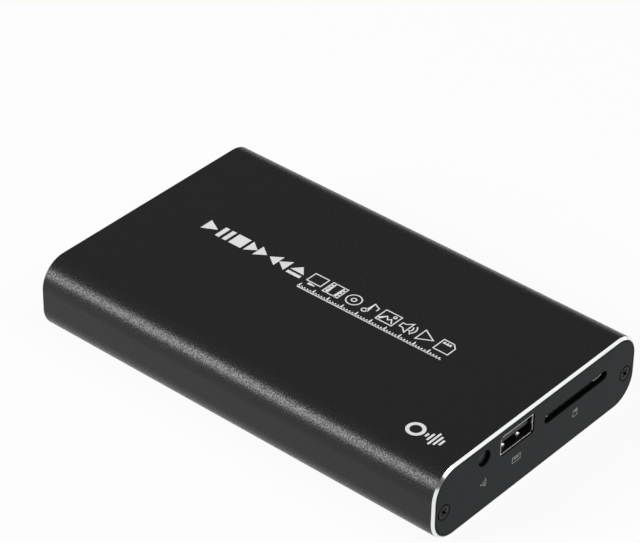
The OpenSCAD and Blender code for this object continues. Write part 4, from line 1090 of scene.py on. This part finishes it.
can_profile = [
    (2.10, 0.74), (2.38, 0.84), (2.5, 1.0), (2.5, 1.25), (2.27, 1.45), (2.27, 1.56), (2.5, 1.78), (2.5, 4.95),
    (2.42, 5.2), (2.2, 5.33), (1.92, 5.36), (1.8, 5.30), (0.02, 5.29)]
seat_outline = [(-2.7, -2.7), (2.7, -2.7), (2.7, 1.9), (1.9, 2.7), (-1.9, 2.7), (-2.7, 1.9)]
minus_mark = arc(0, 0, 1.72, -140, -40, 12)
bm = bmesh.new()
can_spots = spots_of("smoothing_capacitors")
for spot, size in can_spots:
    angle = 0 if spot.x + size.x / 2 > 0 else 90
    lathe(bm, scaled(can_profile), (spot.x * mm, spot.y * mm, board_top), "z", 40)
    on_board(bm, seat_outline, angle, spot.x, spot.y, 0.08, 0.8, 1)
    on_board(bm, minus_mark, angle, spot.x, spot.y, 5.27, 5.32, 1)
    for side in (-1, 1):
        on_board(bm, moved(oblong(0.9, 1.9), 0, side * 2.2), angle, spot.x, spot.y, 0.02, 0.2, 2)
cans = even_shading(
    new_piece("capacitor_cans", bm, "tray", "can_aluminium", can_aluminium, chip_resin, solder_tin))
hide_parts("smoothing_capacitors")
print("capacitors:", len(can_spots))

# %% [markdown]
# ## Legs, terminals and marks
# A packaged chip stands on bent legs that leave its sides half way up, drop, and lie flat on their pads.
# Each leg is one bent strip, so it is the section of the bend drawn once and given the width of the leg.
# Coils and the crystal have tin tabs and a flange instead.

# %% Chip legs
def gull_leg(bm, x, y, angle, width, rise):
    """A leg that leaves a package at x, y along an angle. rise is the height at which it leaves."""
    bend = [(-0.1, rise), (0.25, rise), (0.45, 0.14), (0.9, 0.14), (0.9, 0.02), (0.36, 0.02),
            (0.16, rise - 0.12), (-0.1, rise - 0.12)]
    rings = []
    for across in (-width / 2, width / 2):
        places = turned([(out, across) for out, z in bend], angle, x, y)
        rings.append([(px * mm, py * mm, board_top + z * mm) for (px, py), (out, z) in zip(places, bend)])
    skin(bm, rings, caps=True)


def leg_rows(bm, spots, angles, count, pitch, width, rise):
    """Rows of legs along the sides of packages. The angles, in degrees, say which sides have them."""
    for spot, size in spots:
        row = [(size.x / 2, across) for across in spread(count, pitch)]
        for angle in angles:
            for x, y in turned(row, angle, spot.x, spot.y):
                gull_leg(bm, x, y, angle, width, rise)


bm = bmesh.new()
memory_spots = spots_of("memory_chips")
bridge_spots = spots_of("bridge_chip")
leg_rows(bm, memory_spots, (0, 180), count=14, pitch=0.8, width=0.32, rise=0.62)
leg_rows(bm, bridge_spots, (0, 90, 180, 270), count=15, pitch=0.5, width=0.22, rise=0.55)
for spot, size in memory_spots + bridge_spots:
    dot = circle(1.0 - size.x / 2, size.y / 2 - 1.0, 0.35, 12)
    on_board(bm, dot, 0, spot.x, spot.y, size.z - 0.01, size.z + 0.015, 1)
legs = new_piece("chip_legs", bm, "tray", "steel_fastener", solder_tin, label_grey)
print("faces of the legs:", len(legs.data.polygons))

# %% Terminals of the coils, foot of the crystal
bm = bmesh.new()
inductor_spots = spots_of("power_inductors")
for spot, size in inductor_spots:
    for side in (-1, 1):
        edge = spot.y + side * size.y / 2
        on_board(bm, oblong(2.6, 0.3), 0, spot.x, edge, 0.02, 1.3)
        on_board(bm, oblong(3.0, 0.9), 0, spot.x, edge + side * 0.25, 0.0, 0.05)
crystal_spot, crystal_size = spots_of("clock_crystal")[0]
flange_w, flange_h = crystal_size.x + 0.7, crystal_size.y + 0.7
flange = rounded_outline(flange_w, flange_h, flange_h / 2 - 0.01, 10)
on_board(bm, flange, 0, crystal_spot.x, crystal_spot.y, 0.05, 0.42)
round_edges(new_piece("coil_terminals", bm, "tray", "steel_fastener", solder_tin), 0.04 * mm)
print("coils:", len(inductor_spots))

# %% [markdown]
# ## Small parts
# Rows of chip resistors and capacitors fill a real board between its large parts. A seeded random choice of
# places gives the same board in each run, and a row is only placed where its rectangle is free of
# everything else. Each part is a ceramic body with a tin cap at each end, on two tin pads.

# %% Free places on the board
def footprint(node_name, margin):
    """The rectangles that the separate solids of a node cover on the board, in millimetres."""
    return [(low.x / mm - margin, low.y / mm - margin, high.x / mm + margin, high.y / mm + margin)
            for low, high in solids_of(node_name)]


margins = {
    "memory_chips": 1.9, "bridge_chip": 1.9, "heat_sink": 0.7, "clock_crystal": 1.0, "power_inductors": 1.1,
    "smoothing_capacitors": 1.0, "usb_host_shell": 1.0, "usb_host_tongue": 1.0, "card_socket_shell": 0.9,
    "ir_receiver": 1.4, "av_jack": 0.9, "dc_jack": 0.9, "hdmi_shell": 0.9, "data_port_shell": 0.9,
    "board_screws": 1.5,
}
taken = []
for name, margin in margins.items():
    taken += footprint(name, margin)
board_edge = 1.9
board_x = board_high.x / mm - board_edge
board_front = board_low.y / mm + board_edge
board_rear = board_high.y / mm - board_edge
row_gap = 0.45
most_rows, most_tries = 96, 1500
chance = random.Random(11)
rows = []
for attempt in range(most_tries):
    kind = chance.choice(("capacitor", "resistor", "resistor", "small"))
    long_side, wide_side, pitch = (1.6, 0.8, 1.35) if kind != "small" else (1.0, 0.5, 0.95)
    count = chance.choice((1, 2, 3, 4, 5, 6))
    angle = 90 if chance.random() < 0.5 else 0
    span = (pitch * (count - 1) + wide_side, long_side)
    w, h = span if angle else span[::-1]
    x = round(chance.uniform(-board_x, board_x) * 2) / 2
    y = round(chance.uniform(board_front, board_rear) * 2) / 2
    here = (x - w / 2 - row_gap, y - h / 2 - row_gap, x + w / 2 + row_gap, y + h / 2 + row_gap)
    if abs(x) + w / 2 > board_x or y - h / 2 < board_front or y + h / 2 > board_rear:
        continue
    if any(here[0] < t[2] and here[2] > t[0] and here[1] < t[3] and here[3] > t[1] for t in taken):
        continue
    taken.append(here)
    rows.append((kind, x, y, count, angle, pitch, long_side, wide_side))
    if len(rows) == most_rows:
        break
print("rows of small parts:", len(rows), "parts:", sum(row[3] for row in rows))

# %% Chip resistors and capacitors
ceramic_tan = moulded("chip ceramic", (0.34, 0.22, 0.13), (0.42, 0.28, 0.17), (0.42, 0.56), 0.2 * mm)
heights = {"capacitor": 0.8, "resistor": 0.42, "small": 0.34}
bm = bmesh.new()
for kind, x, y, count, angle, pitch, long_side, wide_side in rows:
    cap = 0.22 * long_side
    ceramic = oblong(long_side - 2 * cap, wide_side)
    material = 0 if kind == "resistor" else 1
    for px, py in turned([(0, across) for across in spread(count, pitch)], angle, x, y):
        on_board(bm, ceramic, angle, px, py, 0.06, heights[kind] - 0.02, material)
        for side in (-1, 1):
            end = moved(oblong(cap, wide_side + 0.03), side * (long_side - cap) / 2, 0)
            on_board(bm, end, angle, px, py, 0.04, heights[kind], 2)
            pad = moved(oblong(cap + 0.34, wide_side + 0.16), side * (long_side / 2 + 0.02), 0)
            on_board(bm, pad, angle, px, py, -0.01, 0.035, 2)
small_parts = new_piece("small_parts", bm, "tray", "chip_resin", chip_resin, ceramic_tan, solder_tin)
print("faces of the small parts:", len(small_parts.data.polygons))

# %% [markdown]
# ## Pads, pins and board print
# The board screws press on tinned rings. The legs of the sockets go through the board, and below it each
# ends in a small solder cone. White print draws the outline of each part with a gap at its first corner, so
# that it can be placed the right way round by hand.

# %% Ring pads and solder cones
bm = bmesh.new()
for spot, size in spots_of("board_screws"):
    washer = scaled(rectangle(1.3, -0.01, 2.75, 0.03))
    lathe(bm, washer, (spot.x * mm, spot.y * mm, board_top), closed=True)
pins = [(usb_x / mm + step, usb_high.y / mm - 0.6) for step in (-3.5, -1.0, 1.0, 3.5)]
# How many pins, their pitch, and how far they lie in from the rear of the part, or from its front if below 0.
pin_rows = [("ir_receiver", 3, 1.8, -2.1), ("av_jack", 3, 2.0, 3.0), ("dc_jack", 2, 3.2, 4.0),
            ("hdmi_shell", 6, 1.6, 10.5), ("data_port_shell", 5, 1.5, 7.5)]
for name, count, pitch, inset in pin_rows:
    low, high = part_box(name)
    y = (high.y if inset > 0 else low.y) / mm - inset
    pins += [((low.x + high.x) / 2 / mm + step, y) for step in spread(count, pitch)]
cone = scaled([(0.62, 0.01), (0.5, -0.10), (0.30, -0.30), (0.22, -0.52), (0.10, -0.56)])
for x, y in pins:
    lathe(bm, cone, (x * mm, y * mm, board_low.z), "z", 14)
even_shading(new_piece("ring_pads", bm, "tray", "steel_fastener", solder_tin), 40)
print("solder cones:", len(pins))

# %% Board print
board_canvas = Canvas((0, 0, board_top), (1, 0, 0), (0, 1, 0))
print_line = 0.15


def part_outline(x, y, w, h, notch=1.0):
    """The outline of a part, open at its first corner."""
    left, right, low, high = x - w / 2, x + w / 2, y - h / 2, y + h / 2
    corners = [(left, high - notch), (left, low), (right, low), (right, high), (left + notch, high)]
    board_canvas.stroke(corners, print_line)
    board_canvas.fill(circle(left - 0.1, high + 0.1, 0.25, 8))


for spot, size in memory_spots:
    part_outline(spot.x, spot.y, size.x + 2.5, size.y + 0.7)
for spot, size in bridge_spots:
    part_outline(spot.x, spot.y, size.x + 2.5, size.y + 2.5)
for spot, size in inductor_spots:
    part_outline(spot.x, spot.y, size.x + 0.6, size.y + 2.0, 0.8)
for spot, size in can_spots:
    part_outline(spot.x, spot.y, 7.0, 7.0, 1.2)
sink_low, sink_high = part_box("heat_sink")
part_outline((sink_low.x + sink_high.x) / 2 / mm, (sink_low.y + sink_high.y) / 2 / mm, 23, 23, 1.5)
for kind, x, y, count, angle, pitch, long_side, wide_side in rows:
    if kind != "small":
        reach = pitch * (count - 1) / 2 + wide_side / 2 + 0.28
        for side in (-1, 1):
            ends = [(-long_side / 2, side * reach), (long_side / 2, side * reach)]
            board_canvas.stroke(turned(ends, angle, x, y), 0.11)
board_white = moulded(
    "board print", (0.66, 0.67, 0.64), (0.76, 0.77, 0.74), (0.5, 0.62), 0.2 * mm, 0.003 * mm)
board_print = board_canvas.finish("board_print", "tray", board_white)
print("faces of the board print:", len(board_print.data.polygons))

# %% [markdown]
# ## Rear sockets
# Each rear socket has what a plug would touch: rows of gold strips on the tongues, and a nickel ring at the
# mouth of the sound jack. Small signs below them say what each is for: data, sound, screen and power.

# %% Contacts and trim of the rear sockets
def contact_row(bm, x, mouth_y, z, count, pitch, width, length):
    """Gold strips on the underside of a tongue, side by side and a little way in from its mouth."""
    for step in spread(count, pitch):
        left, right = x + step - width / 2, x + step + width / 2
        block(bm, (left, mouth_y - length, z - 0.04 * mm), (right, mouth_y - 0.3 * mm, z + 0.02 * mm))


bm = bmesh.new()
low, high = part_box("hdmi_tongue")
tongue_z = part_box("hdmi_shell")[1].z - 2.9 * mm
contact_row(bm, (low.x + high.x) / 2, high.y, tongue_z, 10, 1.0 * mm, 0.36 * mm, 6.0 * mm)
data_pitch = 0.8 * mm
for low, high in solids_of("data_port_tongue"):
    count = int((high.x - low.x) / data_pitch)
    contact_row(bm, (low.x + high.x) / 2, high.y, low.z, count, data_pitch, 0.32 * mm, 5.0 * mm)
contacts = new_piece("rear_contacts", bm, "tray", "gold_contact", gold_contact)

bm = bmesh.new()
jack_low, jack_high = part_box("av_jack")
jack_middle = ((jack_low.x + jack_high.x) / 2, jack_high.y, board_top + 2.9 * mm)
ring_section = scaled([(1.82, -0.3), (2.3, -0.3), (2.3, 0.03), (2.1, 0.07), (1.82, -0.12)])
lathe(bm, ring_section, jack_middle, "y", 40, closed=True)
even_shading(new_piece("jack_ring", bm, "tray", "plated_shell", plated_shell))
print("faces of the rear contacts:", len(contacts.data.polygons))

# %% Signs below the rear sockets
rear = Canvas((0, rear_y, 0), (-1, 0, 0), (0, 0, 1))
centers = {name: -(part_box(name)[0].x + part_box(name)[1].x) / 2 / mm for name in
           ("data_port_shell", "av_jack", "hdmi_shell", "dc_jack")}
rear.sign(centers["data_port_shell"], label_z, panel_line,
          outlines=[[(-2.0, 0), (2.0, 0), (2.0, 1.2), (0.5, 1.2), (0.5, 1.6), (-2.0, 1.6)]])
rear.sign(centers["av_jack"] - 1.0, label_z, panel_line,
          outlines=[[(-0.9, 0.6), (-0.4, 0.6), (0.3, 0), (0.3, 2.0), (-0.4, 1.4), (-0.9, 1.4)]],
          lines=[arc(0.2, 1.0, r, -45, 45, 6) for r in (0.9, 1.5)])
rear.sign(centers["hdmi_shell"], label_z, panel_line,
          outlines=[rectangle(-1.5, 0.4, 1.5, 2.2)], lines=[[(-0.8, 0), (0.8, 0)]])
rear.sign(centers["dc_jack"], label_z, panel_line,
          lines=[arc(0, 1.0, 0.95, -240, 60, 20)], filled=[circle(0, 1.0, 0.35, 12)])
rear.finish("rear_print", "housing", label_grey)
print("rear signs at x, mm:", {name: round(-x, 1) for name, x in centers.items()})

# %% [markdown]
# ## Ejector spring
# The spring behind the card ejector shortens when the slide is pushed in. A wire wound round the axis of
# the slide takes the place of the imported one.

# %% Wound spring
spring_low, spring_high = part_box("card_ejector_spring")
spring_length = spring_high.y - spring_low.y
wire_r, wire_sides = 0.1 * mm, 8
spring_steps, spring_turns = 24, 6
spring_r = (spring_high.z - spring_low.z) / 2 - wire_r
axis_x, axis_z = (spring_low.x + spring_high.x) / 2, (spring_low.z + spring_high.z) / 2
dead_share = 0.07
close_share = 0.1
rings = []
for k in range(spring_steps * spring_turns + 1):
    a = 2 * math.pi * k / spring_steps
    share = k / (spring_steps * spring_turns)
    even_pitch = min(max((share - dead_share) / (1 - 2 * dead_share), 0), 1)
    climb = (1 - close_share) * even_pitch + close_share * share
    along = wire_r + (spring_length - 2 * wire_r) * climb
    rings.append([(axis_x + r * math.cos(a), y, axis_z + r * math.sin(a))
                  for r, y in circle(spring_r, spring_low.y + along, wire_r, wire_sides)])
bm = bmesh.new()
skin(bm, rings, caps=True)
coil = even_shading(new_piece("ejector_coil", bm, "tray", "steel_fastener", steel_fastener), 50)
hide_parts("card_ejector_spring")
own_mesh(coil)
print("spring, mm:", round(spring_length / mm, 2))

# %% [markdown]
# ## Drive label and stamped ring
# A drive's cover carries a label, here left bare, and a stamped ring round the motor that stiffens it. Both
# are low, because the board lies a millimetre above.

# %% Drive label
cover_low, cover_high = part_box("drive_cover")
platter_low, platter_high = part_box("platter")
motor = ((platter_low + platter_high) / 2).to_2d() / mm
bm = bmesh.new()
label_w, label_l, label_inset = 46, 24, 20
label = moved(rounded_outline(label_w, label_l, 1.5, 6), 0, cover_low.y / mm + label_inset)
plate(bm, scaled(label), cover_high.z - 0.01 * mm, cover_high.z + 0.06 * mm)
stamped = scaled([(13.0, -0.02), (13.5, 0.14), (15.5, 0.14), (16.0, -0.02)])
lathe(bm, stamped, (motor.x * mm, motor.y * mm, cover_high.z), steps=64, material=1, closed=True)
paper = moulded("label paper", (0.70, 0.71, 0.72), (0.78, 0.79, 0.80), (0.45, 0.60), 0.3 * mm, 0.004 * mm)
even_shading(new_piece("drive_label", bm, "drive", "drive_cover_steel", paper, cover_steel))
print("motor at, mm:", [round(v, 1) for v in motor])

# %% [markdown]
# ## Floor and light
# The case stands on a pale floor that turns up into a low wall, so that every view ends in white. For the
# camera and for reflections the stage mostly gives its own even white, and the rest is lit and keeps the
# soft shadow. The lamps are large and far enough to stay soft. One lies behind the left edge, where the
# long highlight on the rounded edge mirrors it, and one hangs over the front. Two weaker ones in front and
# on the right light the bright cut rim.

# %% Stage
stage_r, cove_r, wall_top = 4.0, 0.4, 0.5
floor_z = -0.05 * mm
stage_steps = 96
own_share = 0.92
profile = [(r, floor_z) for r in (0.02, 0.5, 1.5, stage_r - cove_r)]
profile += arc(stage_r - cove_r, cove_r, cove_r, -90, 0, 10) + [(stage_r, wall_top)]
bm = bmesh.new()
skin(bm, spun(profile, steps=stage_steps))
# The first ring is a small hole in the middle, which one more face closes.
bm.faces.new(list(bm.verts)[:stage_steps])
data = bpy.data.meshes.new("stage")
bm.to_mesh(data)
bm.free()
stage = bpy.data.objects.new("stage", data)
bpy.context.scene.collection.objects.link(stage)

stage_white = bpy.data.materials.new("stage white")
stage_white.use_nodes = True
tree = stage_white.node_tree
tree.nodes.clear()
seen = node(tree, "LightPath")
own_light = math_node(tree, "MAXIMUM", seen.outputs["Is Camera Ray"], seen.outputs["Is Glossy Ray"])
own_light = math_node(tree, "MAXIMUM", own_light, seen.outputs["Is Transmission Ray"])
lit = node(tree, "BsdfDiffuse", {"Color": (0.70, 0.70, 0.70, 1)})
even = node(tree, "Emission", {"Color": (1, 1, 1, 1), "Strength": 1.0})
mixed = node(tree, "MixShader", {0: math_node(tree, "MULTIPLY", own_light, own_share)})
tree.links.new(lit.outputs[0], mixed.inputs[1])
tree.links.new(even.outputs[0], mixed.inputs[2])
node(tree, "OutputMaterial", {"Surface": mixed.outputs[0]})
stage.data.materials.append(stage_white)

# %% Lamps and world
def softbox(name, direction, distance, size, power):
    """An area lamp, of a width and a height, that faces the case from a direction."""
    lamp = bpy.data.lights.new(name, "AREA")
    lamp.shape = "RECTANGLE"
    lamp.size, lamp.size_y = size
    lamp.energy = power
    holder = bpy.data.objects.new(name, lamp)
    bpy.context.scene.collection.objects.link(holder)
    toward = Vector(direction).normalized()
    holder.location = toward * distance
    holder.rotation_euler = toward.to_track_quat("Z", "Y").to_euler()
    holder.visible_camera = False


softbox("back left softbox", (-0.73, 0.50, 0.45), 1.5, (0.55, 0.68), 26.0)
softbox("front overhead softbox", (0.12, -0.55, 0.82), 1.5, (1.0, 1.0), 11.0)
softbox("front reflector", (0.36, -0.78, 0.56), 1.5, (1.7, 0.55), 2.8)
softbox("right reflector", (0.88, -0.40, 0.24), 1.5, (0.5, 0.5), 0.75)
world = bpy.data.worlds.new("dim room")
bpy.context.scene.world = world
world.use_nodes = True
sky = world.node_tree.nodes["Background"]
sky.inputs["Color"].default_value = (1, 1, 1, 1)
sky.inputs["Strength"].default_value = 0.16
print("lamps:", [lamp.name for lamp in bpy.data.lights])
